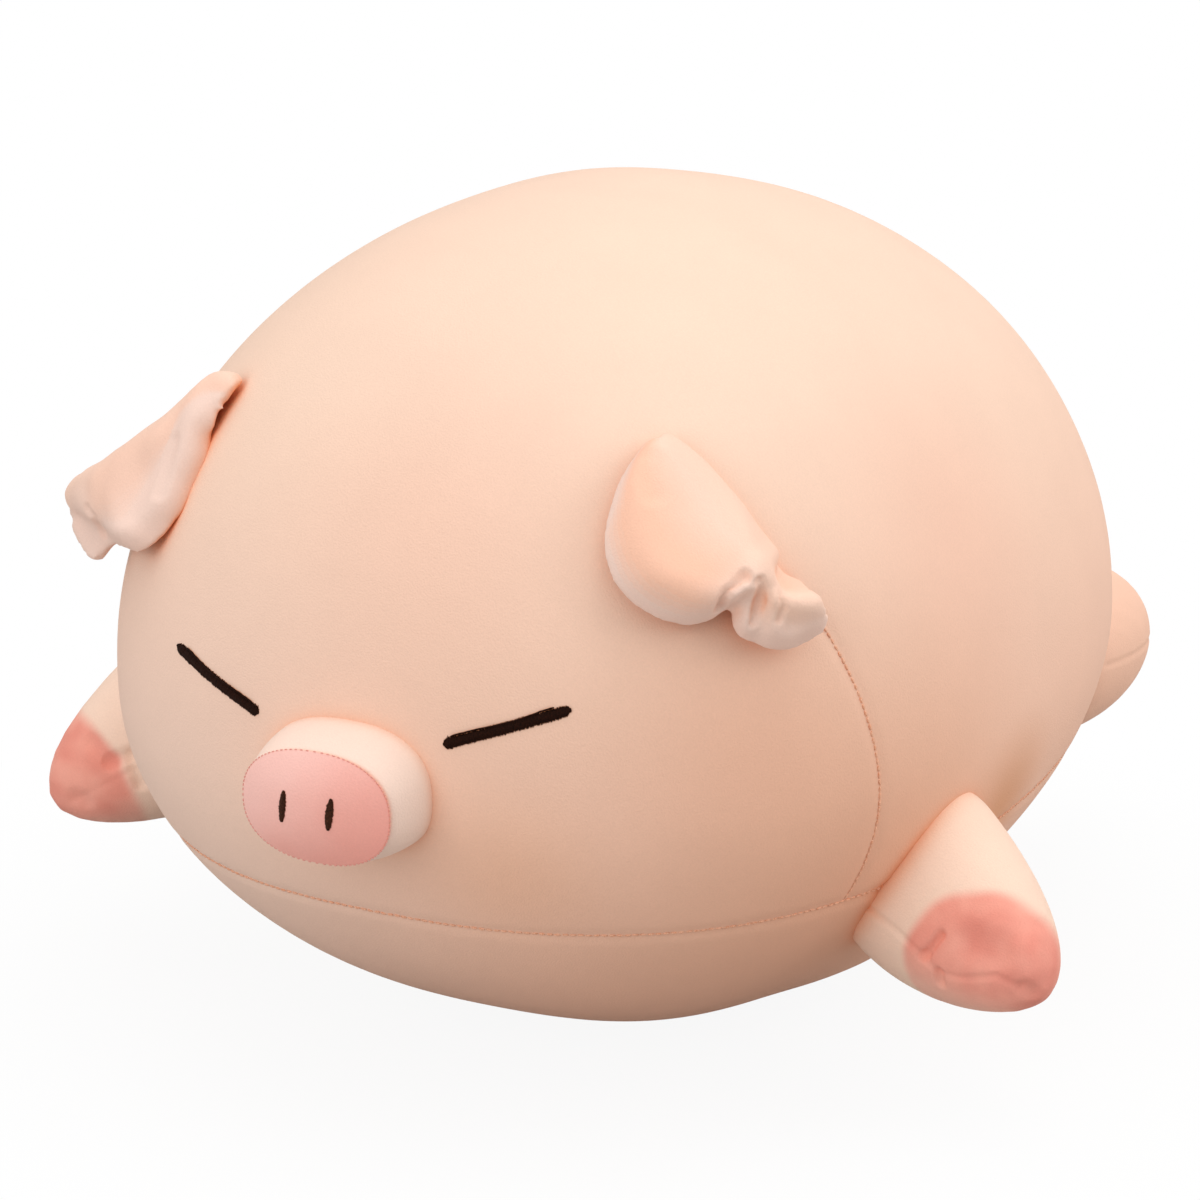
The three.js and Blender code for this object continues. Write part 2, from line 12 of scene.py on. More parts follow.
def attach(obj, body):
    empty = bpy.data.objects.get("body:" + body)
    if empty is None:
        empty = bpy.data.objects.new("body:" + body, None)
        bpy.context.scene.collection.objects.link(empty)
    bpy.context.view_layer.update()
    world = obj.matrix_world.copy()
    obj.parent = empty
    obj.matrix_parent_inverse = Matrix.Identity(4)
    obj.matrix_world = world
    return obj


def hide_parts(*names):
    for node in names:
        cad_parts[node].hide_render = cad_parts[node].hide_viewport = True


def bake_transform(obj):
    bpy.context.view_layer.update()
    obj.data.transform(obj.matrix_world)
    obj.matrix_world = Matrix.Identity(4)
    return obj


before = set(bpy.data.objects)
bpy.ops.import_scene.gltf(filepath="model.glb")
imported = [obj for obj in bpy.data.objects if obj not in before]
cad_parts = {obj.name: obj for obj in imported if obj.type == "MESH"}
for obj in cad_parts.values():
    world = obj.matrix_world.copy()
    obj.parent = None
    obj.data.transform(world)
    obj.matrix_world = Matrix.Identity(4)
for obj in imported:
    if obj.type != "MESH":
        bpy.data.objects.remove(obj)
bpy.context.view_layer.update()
scene = bpy.context.scene
scene.view_settings.view_transform = "Standard"
mm = .001


# Camera

shot = {
    "azimuth": 27.303,
    "elevation": 16.869,
    "aim": (-.0098, -.00506, .154),
    "distance": 1.6,
    "lens": 120,
    "sensor": 36,
    "reach": 60,
}


def standBack(holder, toward, distance):
    # Puts a camera or a lamp that far from the aim, facing it
    holder.location = Vector(shot["aim"]) + toward * distance
    holder.rotation_mode = "QUATERNION"
    holder.rotation_quaternion = (-toward).to_track_quat("-Z", "Y")
    scene.collection.objects.link(holder)


def placeCamera():
    turn, lift = math.radians(shot["azimuth"]), math.radians(shot["elevation"])
    back = Vector((math.sin(turn) * math.cos(lift), -math.cos(turn) * math.cos(lift), math.sin(lift)))
    camera = bpy.data.objects.new("camera", bpy.data.cameras.new("camera"))
    camera.data.lens = shot["lens"]
    camera.data.sensor_width = shot["sensor"]
    camera.data.clip_end = shot["reach"]
    standBack(camera, back, shot["distance"])
    scene.camera = camera


# Material helpers

def colour(red, green, blue):
    # 0-255 as seen on screen, to the linear values that the sockets take
    shares = [c / 255 for c in (red, green, blue)]
    return (*[s / 12.92 if s <= .04045 else ((s + .055) / 1.055) ** 2.4 for s in shares], 1)


class NodeDesk:
    # A short way to add nodes to one material and wire them up
    def __init__(self, owner):
        owner.use_nodes = True
        self.nodes, self.links = owner.node_tree.nodes, owner.node_tree.links
        self.nodes.clear()

    def add(self, kind, settings=None, **inputs):
        node = self.nodes.new("ShaderNode" + kind)
        for name, value in (settings or {}).items():
            setattr(node, name, value)
        for name, value in inputs.items():
            self.put(node, name.replace("_", " "), value)
        return node

    def put(self, node, socket, value):
        target = node.inputs[socket]
        if isinstance(value, bpy.types.NodeSocket):
            self.links.new(value, target)
        else:
            target.default_value = value

    def math(self, operation, first, second=None):
        node = self.add("Math", {"operation": operation})
        self.put(node, 0, first)
        if second is not None:
            self.put(node, 1, second)
        return node.outputs[0]

    def mix(self, share, first, second, blend="MIX"):
        node = self.add("Mix", {"data_type": "RGBA", "blend_type": blend})
        for socket, value in ((0, share), (6, first), (7, second)):
            self.put(node, socket, value)
        return node.outputs[2]

    def mixShaders(self, share, first, second):
        node = self.add("MixShader", Fac=share)
        self.put(node, 1, first)
        self.put(node, 2, second)
        return node.outputs[0]

    def ramp(self, share, stops):
        node = self.add("ValToRGB", Fac=share)
        while len(node.color_ramp.elements) < len(stops):
            node.color_ramp.elements.new(.5)
        for element, (place, shade) in zip(node.color_ramp.elements, stops):
            element.position, element.color = place, shade
        return node.outputs["Color"]

    def span(self, value, low, high, lowest=0, highest=1, smooth=False):
        node = self.add("MapRange", {"interpolation_type": "SMOOTHSTEP" if smooth else "LINEAR"})
        for socket, setting in enumerate((value, low, high, lowest, highest)):
            self.put(node, socket, setting)
        return node.outputs[0]

    def noise(self, where, scale, detail=2):
        return self.add("TexNoise", Vector=where, Scale=scale, Detail=detail).outputs["Fac"]

    def spread(self, noise, low=0, high=1, margin=.3):
        # Noise seldom comes near 0 or 1, so what lies between the margins fills the range
        return self.span(noise, margin, 1 - margin, low, high)

    def attribute(self, name):
        return self.add("Attribute", {"attribute_name": name}).outputs["Fac"]


def newMaterial(name):
    # A material, its desk and the place on the object
    made = bpy.data.materials.new(name)
    desk = NodeDesk(made)
    return made, desk, desk.add("TexCoord").outputs["Object"]


# Floor, backdrop and lamps

studio = {
    "floorSize": 24,
    "floorColour": colour(184, 181, 178),
    "paperColour": colour(231, 231, 231),
    "backdropShare": .92,   # how much of the floor that the camera sees near the pig is plain white
    "backdropNear": .16,    # that share grows from here outward
    "backdropFar": .38,     # and is the whole from here on
    "sky": 1.33,            # straight up, and less toward the horizon
    "skyColour": colour(255, 252, 250),
    "lamps": {
        "top": {"toward": (.2, .02, 1), "distance": 1.8, "size": .7, "level": .1},
        "side": {"toward": (.8, .2, .4), "distance": 1.9, "size": 1.3, "level": .34},
        "front": {"toward": (-.18, -.95, .3), "distance": 2.4, "size": 1.5, "level": .3},
    },
}


def seenDirectly(desk):
    rays = desk.add("LightPath").outputs
    straight = desk.math("MAXIMUM", rays["Is Camera Ray"], rays["Is Glossy Ray"])
    return desk.math("MAXIMUM", straight, rays["Is Transmission Ray"])


def layFloor():
    form = bmesh.new()
    bmesh.ops.create_grid(form, x_segments=1, y_segments=1, size=studio["floorSize"] / 2)
    mesh = bpy.data.meshes.new("floor")
    form.to_mesh(mesh)
    form.free()
    floor = bpy.data.objects.new("floor", mesh)
    scene.collection.objects.link(floor)
    paper, desk, where = newMaterial("backdrop paper")
    matt = desk.add("BsdfDiffuse", Color=studio["floorColour"]).outputs[0]
    glow = desk.add("Emission", Color=(1, 1, 1, 1), Strength=1.0).outputs[0]
    pale = desk.add("BsdfDiffuse", Color=studio["paperColour"]).outputs[0]
    away = desk.add("VectorMath", {"operation": "LENGTH"}, Vector=where).outputs["Value"]
    shown = desk.span(away, studio["backdropNear"], studio["backdropFar"], 1 - studio["backdropShare"], 0, True)
    backdrop = desk.mixShaders(shown, glow, pale)
    desk.add("OutputMaterial", Surface=desk.mixShaders(seenDirectly(desk), matt, backdrop))
    mesh.materials.append(paper)


def lightStudio():
    world = scene.world or bpy.data.worlds.new("studio")
    scene.world = world
    desk = NodeDesk(world)
    upward = desk.add("SeparateXYZ", Vector=desk.add("TexCoord").outputs["Generated"]).outputs["Z"]
    level = desk.math("MULTIPLY", desk.math("MAXIMUM", upward, 0.0), studio["sky"])
    sky = desk.add("Background", Color=studio["skyColour"], Strength=level).outputs[0]
    white = desk.add("Background", Color=(1, 1, 1, 1), Strength=1.0).outputs[0]
    desk.add("OutputWorld", Surface=desk.mixShaders(seenDirectly(desk), sky, white))
    for name, lamp in studio["lamps"].items():
        light = bpy.data.lights.new(name, "AREA")
        light.size = lamp["size"]
        light.energy = lamp["level"] * (math.pi * lamp["distance"]) ** 2
        standBack(bpy.data.objects.new(name, light), Vector(lamp["toward"]).normalized(), lamp["distance"])


# Cloth and thread

velour = {
    # Body colour by height: deeper and more orange low down as painted warm shade, paler high up
    "low": colour(245, 194, 166),
    "middle": colour(245, 203, 180),
    "high": colour(243, 212, 191),
    "middleHeight": .15,
    "highHeight": .27,
    "pinkerTone": colour(245, 176, 152),
    "leg": colour(246, 216, 196),
    "snout": colour(245, 219, 204),
    "disc": colour(249, 199, 189),
    "discPaintedShade": colour(244, 170, 157),
    "discFade": 22 * mm,
    "pink": colour(246, 172, 154),
    "pinkShade": colour(232, 146, 130),
    "earCrown": colour(246, 210, 190),
    "earHollowShade": colour(248, 198, 172),
    "earRimSheen": colour(241, 211, 197),
    "pile": .7 * mm,
    "grainTone": (.98, 1.02),        # what the pile multiplies the colour by
    "grainRelief": .8,
    "brushedScale": 26,
    "brushedTone": (-.014, .014),    # and what the brushed patches add to that
    "brushedRelief": .6,
    "relief": .5 * mm,
    "reliefStrength": .35,
    "paintedNookShade": colour(255, 191, 134),   # painted shade: multiplies the colour toward orange where cloth lies close to cloth
    "nookReach": 13 * mm,
    "nookSamples": 6,
    "nookClear": (.15, .78),         # how open the cloth is where that is full, and where it ends
    "roughness": .95,
    "shine": .12,
    "sheen": .12,
    "sheenRoughness": .4,
    "sheenTint": (1, .9, .84, 1),
}

# Shares across each ear where the painted shade in the hollow begins and is deepest, where the painted sheen on
# the rolled rim begins and is palest, and shares along it over which that painted hollow shade fades
earLooks = {
    "ear_left": {"hollow": (.48, .7), "rim": (.84, .93), "fade": (.28, .46), "depth": 1},
    "ear_right": {"hollow": (.3, .5), "rim": (.6, .72), "fade": (.55, .8), "depth": .45},
}

# Soft round spots on the body: two pinker patches, one pale pool of painted light and four patches of painted
# shade
tintAndPaintedLightSpots = [
    {"at": (.02, -.17, .23), "radius": .09, "strength": .2, "shade": velour["pinkerTone"]},
    {"at": (.16, -.05, .22), "radius": .09, "strength": .2, "shade": velour["pinkerTone"]},
    # painted light: a pale pool on the lower front of the pig's right side
    {"at": (-.1, -.19, .1), "radius": .19, "strength": .8, "shade": colour(245, 218, 202)},
    # painted shade below the near ear and above the near front leg
    {"at": (.16, -.11, .1), "radius": .13, "strength": .55, "shade": colour(226, 168, 134)},
    # painted shadow of the near ear on the cheek
    {"at": (.13, -.165, .165), "radius": .08, "strength": .4, "shade": colour(230, 174, 144)},
    # painted shade below the snout
    {"at": (.06, -.215, .115), "radius": .05, "strength": .4, "shade": colour(236, 182, 148)},
    # painted shade in the crease at the near front leg's root
    {"at": (.165, -.015, .095), "radius": .05, "strength": .8, "shade": colour(222, 160, 118)},
]


def finishVelour(desk, base, where):
    # Pile: a fine grain in colour and height, with soft brushed patches over it
    grain = desk.noise(where, 1 / velour["pile"], 1)
    brushed = desk.noise(where, velour["brushedScale"], 3)
    tone = desk.math("ADD", desk.spread(grain, *velour["grainTone"]), desk.spread(brushed, *velour["brushedTone"]))
    shaded = desk.mix(1.0, base, tone, "MULTIPLY")
    # Painted shade: where ambient occlusion finds cloth close to cloth, in creases, under the ears and round the
    # legs and snout, the colour is multiplied toward orange
    clear = desk.add("AmbientOcclusion", {"samples": velour["nookSamples"]}, Distance=velour["nookReach"])
    near = desk.span(clear.outputs["AO"], *velour["nookClear"], 1, 0)
    shaded = desk.mix(near, shaded, desk.mix(1.0, shaded, velour["paintedNookShade"], "MULTIPLY"))
    pile = desk.math("MULTIPLY", grain, velour["grainRelief"])
    height = desk.math("ADD", pile, desk.math("MULTIPLY", brushed, velour["brushedRelief"]))
    relief = desk.add("Bump", Strength=velour["reliefStrength"], Distance=velour["relief"], Height=height)
    cloth = desk.add("BsdfPrincipled", Base_Color=shaded, Normal=relief.outputs[0], Roughness=velour["roughness"],
                     Specular_IOR_Level=velour["shine"], Sheen_Weight=velour["sheen"],
                     Sheen_Roughness=velour["sheenRoughness"], Sheen_Tint=velour["sheenTint"])
    desk.add("OutputMaterial", Surface=cloth.outputs[0])


def peachBase(desk, where):
    # Painted shade: deeper and more orange toward the bottom, standing in for the warm light bounced inside the
    # pile, and paler toward the top
    height = desk.add("SeparateXYZ", Vector=where).outputs["Z"]
    top = velour["highHeight"]
    share = desk.span(height, 0, top)
    stops = [(0, velour["low"]), (velour["middleHeight"] / top, velour["middle"]), (1, velour["high"])]
    base = desk.ramp(share, stops)
    # Pinker patches, and spots of painted light and painted shade
    for spot in tintAndPaintedLightSpots:
        scale = 1 / spot["radius"]
        place = desk.add("Mapping", Vector=where, Location=-Vector(spot["at"]) * scale, Scale=(scale,) * 3)
        glow = desk.add("TexGradient", {"gradient_type": "SPHERICAL"}, Vector=place.outputs[0])
        share = desk.span(glow.outputs["Fac"], 0, 1, 0, spot["strength"], True)
        base = desk.mix(share, base, spot["shade"])
    return base


def peachVelour():
    cloth, desk, where = newMaterial("peach velour")
    finishVelour(desk, peachBase(desk, where), where)
    return cloth


def earVelour(name):
    # Painted shade, deeper in the hollow of the fold, and painted sheen, pale on the rolled edge
    look = earLooks[name]
    cloth, desk, where = newMaterial(name + " velour")
    along, across = desk.attribute("along"), desk.attribute("across")
    wander = desk.math("ADD", across, desk.spread(desk.noise(where, 30), -.04, .04))
    hollow, rim = look["hollow"], look["rim"]
    stops = [(0, velour["middle"]), (hollow[0], velour["earCrown"]), (hollow[1], velour["earHollowShade"]),
             (rim[0], velour["earHollowShade"]), (rim[1], velour["earRimSheen"])]
    plain = [(0, velour["middle"]), (hollow[0], velour["earCrown"]), (rim[1], velour["earRimSheen"])]
    share = desk.span(along, *look["fade"], look["depth"], 0, True)
    finishVelour(desk, desk.mix(share, desk.ramp(wander, plain), desk.ramp(wander, stops)), where)
    return cloth


def legVelour():
    # Peach, and pink where the cloth was tinted before it was sewn
    cloth, desk, where = newMaterial("leg velour")
    mottleAndPaintedShade = desk.mix(desk.spread(desk.noise(where, 45), margin=.35), velour["pink"], velour["pinkShade"])
    finishVelour(desk, desk.mix(desk.attribute("tint"), velour["leg"], mottleAndPaintedShade), where)
    return cloth


def snoutVelour():
    cloth, desk, where = newMaterial("snout velour")
    finishVelour(desk, velour["snout"], where)
    return cloth


def pinkVelour():
    # Painted shade: darker toward its lower end on the pig's left, changing slowly in colour aslant across the
    # snout's front
    cloth, desk, where = newMaterial("pink velour")
    side = desk.add("SeparateXYZ", Vector=where).outputs
    aslant = desk.math("SUBTRACT", side["X"], desk.math("SUBTRACT", side["Z"], snout["height"]))
    paintedShadeShare = desk.math("ADD", aslant, desk.spread(desk.noise(where, 40), -8 * mm, 8 * mm))
    reach = 2 * velour["discFade"]
    mottleAndPaintedShade = desk.mix(desk.span(paintedShadeShare, -reach, reach, smooth=True), velour["disc"], velour["discPaintedShade"])
    finishVelour(desk, mottleAndPaintedShade, where)
    return cloth


threadFibre = {"size": mm / 2.6, "relief": .2 * mm, "strength": .4}


def threadFinish(name, light, dark, roughness, shine=.15):
    thread, desk, where = newMaterial(name)
    fibre = desk.noise(where, 1 / threadFibre["size"])
    shade = desk.mix(desk.spread(fibre, margin=.35), dark, light)
    relief = desk.add("Bump", Strength=threadFibre["strength"], Distance=threadFibre["relief"], Height=fibre)
    strand = desk.add("BsdfPrincipled", Base_Color=shade, Normal=relief.outputs[0], Roughness=roughness,
                      Specular_IOR_Level=shine)
    desk.add("OutputMaterial", Surface=strand.outputs[0])
    return thread


# Piece helpers

def newPiece(name, form, finish):
    mesh = bpy.data.meshes.new(name)
    bmesh.ops.recalc_face_normals(form, faces=form.faces[:])
    form.to_mesh(mesh)
    form.free()
    mesh.polygons.foreach_set("use_smooth", [True] * len(mesh.polygons))
    mesh.materials.append(finish)
    piece = bpy.data.objects.new(name, mesh)
    scene.collection.objects.link(piece)
    return piece


def settle(piece):
    # The mesh becomes what its modifiers make of it
    finished = bpy.data.meshes.new_from_object(piece.evaluated_get(bpy.context.evaluated_depsgraph_get()))
    piece.modifiers.clear()
    piece.data = finished
    finished.polygons.foreach_set("use_smooth", [True] * len(finished.polygons))


def remesh(piece, size):
    even = piece.modifiers.new("even cloth", "REMESH")
    even.mode = "VOXEL"
    even.voxel_size = size
    settle(piece)


def subdivide(piece, levels):
    finer = piece.modifiers.new("finer", "SUBSURF")
    finer.levels = finer.render_levels = levels
    settle(piece)


def pointsOf(piece):
    points = np.zeros(len(piece.data.vertices) * 3)
    piece.data.vertices.foreach_get("co", points)
    return points.reshape(-1, 3)


def movePoints(piece, points):
    piece.data.vertices.foreach_set("co", np.asarray(points).ravel())
    piece.data.update()


def plump(piece, held, cap, pressure=4, frames=20):
    # Fibre filling: the cloth swells under pressure, held where held(point) gives a share
    start = pointsOf(piece)
    group = piece.vertex_groups.new(name="sewn down")
    for index, point in enumerate(start):
        share = held(Vector(point))
        if share > 0:
            group.add([index], min(share, 1), "REPLACE")
    cloth = piece.modifiers.new("filling", "CLOTH")
    cloth.settings.use_pressure = True
    cloth.settings.uniform_pressure_force = pressure
    cloth.settings.vertex_group_mass = group.name
    cloth.settings.effector_weights.gravity = 0
    cloth.point_cache.frame_end = frames
    for tick in range(1, frames + 1):
        scene.frame_set(tick)
    swollen = piece.evaluated_get(bpy.context.evaluated_depsgraph_get())
    moved = np.zeros(len(start) * 3)
    swollen.data.vertices.foreach_get("co", moved)
    piece.modifiers.remove(cloth)
    piece.vertex_groups.clear()
    scene.frame_set(1)
    step = moved.reshape(-1, 3) - start
    length = np.linalg.norm(step, axis=1, keepdims=True)
    movePoints(piece, start + step * np.minimum(1, cap / np.maximum(length, 1e-9)))


def soften(piece, rounds):
    form = bmesh.new()
    form.from_mesh(piece.data)
    for _ in range(rounds):
        bmesh.ops.smooth_vert(form, verts=form.verts[:], factor=.5,
                              use_axis_x=True, use_axis_y=True, use_axis_z=True)
    form.to_mesh(piece.data)
    form.free()


def treeOf(points):
    tree = KDTree(len(points))
    for index, point in enumerate(points):
        tree.insert(point, index)
    tree.balance()
    return tree


def normalsOf(piece):
    normals = np.zeros(len(piece.data.vertices) * 3)
    piece.data.vertex_normals.foreach_get("vector", normals)
    return normals.reshape(-1, 3)


def press(piece, spots, width, depth):
    # Pushes the cloth in along a row of points, most at the points and nothing a width away
    tree, points = treeOf(spots), pointsOf(piece)
    apart = np.array([tree.find(point)[2] for point in points]) / width
    share = np.maximum(1 - apart ** 2, 0) ** 2
    movePoints(piece, points - normalsOf(piece) * depth * share[:, None])


def pressLine(piece, fold, pitch):
    # The same for a crease whose points, width and depth are in mm
    line = [Vector(point) * mm for point in fold["line"]]
    press(piece, [p for p, _ in evenly(line, pitch)] + line[-1:], fold["width"] * mm, fold["depth"] * mm)


def unevenness(points, size):
    return np.array([noise.noise(point / size) for point in map(Vector, points)])


def roughen(piece, size, amount):
    # The slight unevenness of real filling
    points = pointsOf(piece)
    movePoints(piece, points + normalsOf(piece) * unevenness(points, size)[:, None] * amount)


def surfaceOf(piece):
    return BVHTree.FromPolygons(
        [v.co.copy() for v in piece.data.vertices], [tuple(p.vertices) for p in piece.data.polygons])


def smoothLine(points, share):
    # A point on the smooth curve through the given ones
    place = min(max(share, 0), 1) * (len(points) - 1)
    k = min(int(place), len(points) - 2)
    t = place - k
    a, b, c, d = (Vector(points[min(max(k + n, 0), len(points) - 1)]) for n in (-1, 0, 1, 2))
    square, cube = 2 * a - 5 * b + 4 * c - d, 3 * b - 3 * c + d - a
    return .5 * (2 * b + (c - a) * t + square * t ** 2 + cube * t ** 3)


def evenly(line, pitch):
    # Points a pitch apart along a line of points, each with the way the line runs
    found, left = [], 0
    for a, b in zip(line, line[1:]):
        run = (b - a).length
        while left < run:
            found.append((a.lerp(b, left / run), (b - a).normalized()))
            left += pitch
        left -= run
    return found


# Body form, as shares of one full egg

plushBody = {
    "halfWidth": 176 * mm,
    "frontLength": 218.5 * mm,
    "backLength": 233 * mm,
    "crownHeight": 187 * mm,
    "bellyDepth": 147 * mm,
    "girthHeight": 139 * mm,
    "crownFullness": .986,
    "bellyFullness": 1.072,
    "planFullness": .816,
    "lean": -.074,
    "seamHeight": 89 * mm,
    "cuts": 63,
    "growth": .3 * mm,       # how far outside the skin the cloth starts, as the filling settles it
    "sewn": 9 * mm,          # how far from a seam the cloth is held
    "cap": 3 * mm,           # how far the filling may push it
    "voxel": 5.5 * mm,
    "flatSoftness": 2 * mm,
    "grooveWidth": 4.5 * mm,
    "grooveDepth": .9 * mm,
    "unevenSize": 70 * mm,
    "unevenDepth": .5 * mm,
}


def power(base, exponent):
    return math.copysign(abs(base) ** exponent, base)


def fullnessAt(z):
    return plushBody["crownFullness" if z > 0 else "bellyFullness"]


def depthAt(z):
    return plushBody["crownHeight" if z > 0 else "bellyDepth"]


def lengthAt(y):
    return plushBody["frontLength" if y < 0 else "backLength"]


def skinNormal(point):
    z = point.z - plushBody["girthHeight"]
    y = point.y - plushBody["lean"] * z
    planPower, upPower = 2 / plushBody["planFullness"], 2 / fullnessAt(z)
    across, along = abs(point.x / plushBody["halfWidth"]), abs(y / lengthAt(y))
    plan = across ** planPower + along ** planPower
    if plan < 1e-9:
        return Vector((0, 0, math.copysign(1, z)))
    share = plan ** (plushBody["planFullness"] / fullnessAt(z) - 1) * upPower
    slopeX = share * across ** (planPower - 1) * math.copysign(1 / plushBody["halfWidth"], point.x)
    slopeY = share * along ** (planPower - 1) * math.copysign(1 / lengthAt(y), y)
    slopeZ = upPower * abs(z / depthAt(z)) ** (upPower - 1) * math.copysign(1 / depthAt(z), z)
    return Vector((slopeX, slopeY, slopeZ - plushBody["lean"] * slopeY)).normalized()


def skinPoint(around, rise):
    z = depthAt(rise) * power(math.sin(rise), fullnessAt(rise))
    reach = power(math.cos(rise), fullnessAt(rise))
    forward = math.cos(around)
    x = plushBody["halfWidth"] * reach * power(math.sin(around), plushBody["planFullness"])
    y = -lengthAt(-forward) * reach * power(forward, plushBody["planFullness"])
    return Vector((x, y + plushBody["lean"] * z, z + plushBody["girthHeight"]))


def planShare(height):
    z = height - plushBody["girthHeight"]
    level = abs(z / depthAt(z)) ** (2 / fullnessAt(z))
    return (1 - level) ** (fullnessAt(z) / plushBody["planFullness"])


def onSide(y, height):
    along = y - plushBody["lean"] * (height - plushBody["girthHeight"])
    planPower = 2 / plushBody["planFullness"]
    rest = planShare(height) - abs(along / lengthAt(along)) ** planPower
    return Vector((plushBody["halfWidth"] * rest ** (1 / planPower), y, height))


def onFront(x, height):
    planPower = 2 / plushBody["planFullness"]
    rest = planShare(height) - abs(x / plushBody["halfWidth"]) ** planPower
    y = -plushBody["frontLength"] * rest ** (1 / planPower)
    return Vector((x, y + plushBody["lean"] * (height - plushBody["girthHeight"]), height))


def onBack(height):
    y = plushBody["backLength"] * planShare(height) ** (plushBody["planFullness"] / 2)
    return Vector((0, y + plushBody["lean"] * (height - plushBody["girthHeight"]), height))


def roundBlank(cuts):
    # A ball of even four-sided cells
    form = bmesh.new()
    bmesh.ops.create_cube(form, size=2)
    bmesh.ops.subdivide_edges(form, edges=form.edges[:], cuts=cuts, use_grid_fill=True)
    for vertex in form.verts:
        vertex.co = Vector([math.tan(c * math.pi / 4) for c in vertex.co]).normalized()
    return form


# Seam lines on the skin

dart = {"topHeight": 208 * mm, "topY": -134 * mm, "bottomY": -111 * mm, "bow": 6 * mm}


def dartLine(side, steps=60):
    line = []
    for k in range(steps + 1):
        t = k / steps
        height = dart["topHeight"] + (plushBody["seamHeight"] - dart["topHeight"]) * t
        y = dart["topY"] + (dart["bottomY"] - dart["topY"]) * t + dart["bow"] * math.sin(math.pi * t)
        point = onSide(y, height)
        line.append(Vector((side * point.x, point.y, point.z)))
    return line


def bellyLine(steps=480):
    reach = planShare(plushBody["seamHeight"]) ** (plushBody["planFullness"] / 2)
    shift = plushBody["lean"] * (plushBody["seamHeight"] - plushBody["girthHeight"])
    line = []
    for k in range(steps + 1):
        around = 2 * math.pi * (k / steps - .5)
        forward = math.cos(around)
        x = plushBody["halfWidth"] * reach * power(math.sin(around), plushBody["planFullness"])
        y = -lengthAt(-forward) * reach * power(forward, plushBody["planFullness"])
        line.append(Vector((x, y + shift, plushBody["seamHeight"])))
    return line


seamLines = {"dart_seam_left": dartLine(1), "dart_seam_right": dartLine(-1), "belly": bellyLine()}
seamPoints = [p for line in seamLines.values() for p in line]
seamTree = treeOf(seamPoints)

# Where the filling has slumped outward between the floor and a leg
slumps = [{"at": (.118, -.012, .036), "radius": 60 * mm, "push": 5 * mm}]


def sagAt(point):
    total = 0
    for slump in slumps:
        apart = (point - Vector(slump["at"])).length / slump["radius"]
        total += slump["push"] * max(1 - apart ** 2, 0) ** 2
    return total


def makeBody(finish):
    form = roundBlank(plushBody["cuts"])
    for vertex in form.verts:
        x, y, z = vertex.co
        point = skinPoint(math.atan2(x, -y), math.asin(max(-1, min(1, z))))
        vertex.co = point + skinNormal(point) * (plushBody["growth"] + sagAt(point))
    body = newPiece("plush_body", form, finish)
    remesh(body, plushBody["voxel"])
    plump(body, lambda point: 1 - seamTree.find(point)[2] / plushBody["sewn"], plushBody["cap"])
    subdivide(body, 1)
    press(body, seamPoints, plushBody["grooveWidth"], plushBody["grooveDepth"])
    roughen(body, plushBody["unevenSize"], plushBody["unevenDepth"])
    soft = plushBody["flatSoftness"]
    points = pointsOf(body)
    points[:, 2] = (points[:, 2] + np.sqrt(points[:, 2] ** 2 + soft ** 2)) / 2
    points[:, 2] -= points[:, 2].min()
    movePoints(body, points)
    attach(body, "torso")
    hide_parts("body_upper_skin", "body_belly_skin", "body_filling")
    return body


# Legs

frontLeg = {
    "halfWidth": 30.7 * mm,
    "above": 42.5 * mm,
    "below": 30.4 * mm,
    "outline": 1.752,
    "profile": 1.809,
    "flare": .15,
    "rise": 10.5 * mm,
    "shoulder": .06,
    "rootDepth": 26 * mm,
    "cap": 2.6 * mm,
}
hindLeg = {
    "halfWidth": 39 * mm,
    "above": 39 * mm,
    "below": 39 * mm,
    "outline": 2,
    "profile": 2,
    "flare": -.04,
    "rise": 0,
    "shoulder": 0,
    "rootDepth": 26 * mm,
    "cap": 2.6 * mm,
}
hindPlace = {"shape": hindLeg, "rootY": 194 * mm, "rootHeight": 94 * mm,
             "yaw": 75, "pitch": -3, "roll": 0, "length": 70 * mm, "seamDepth": .5}
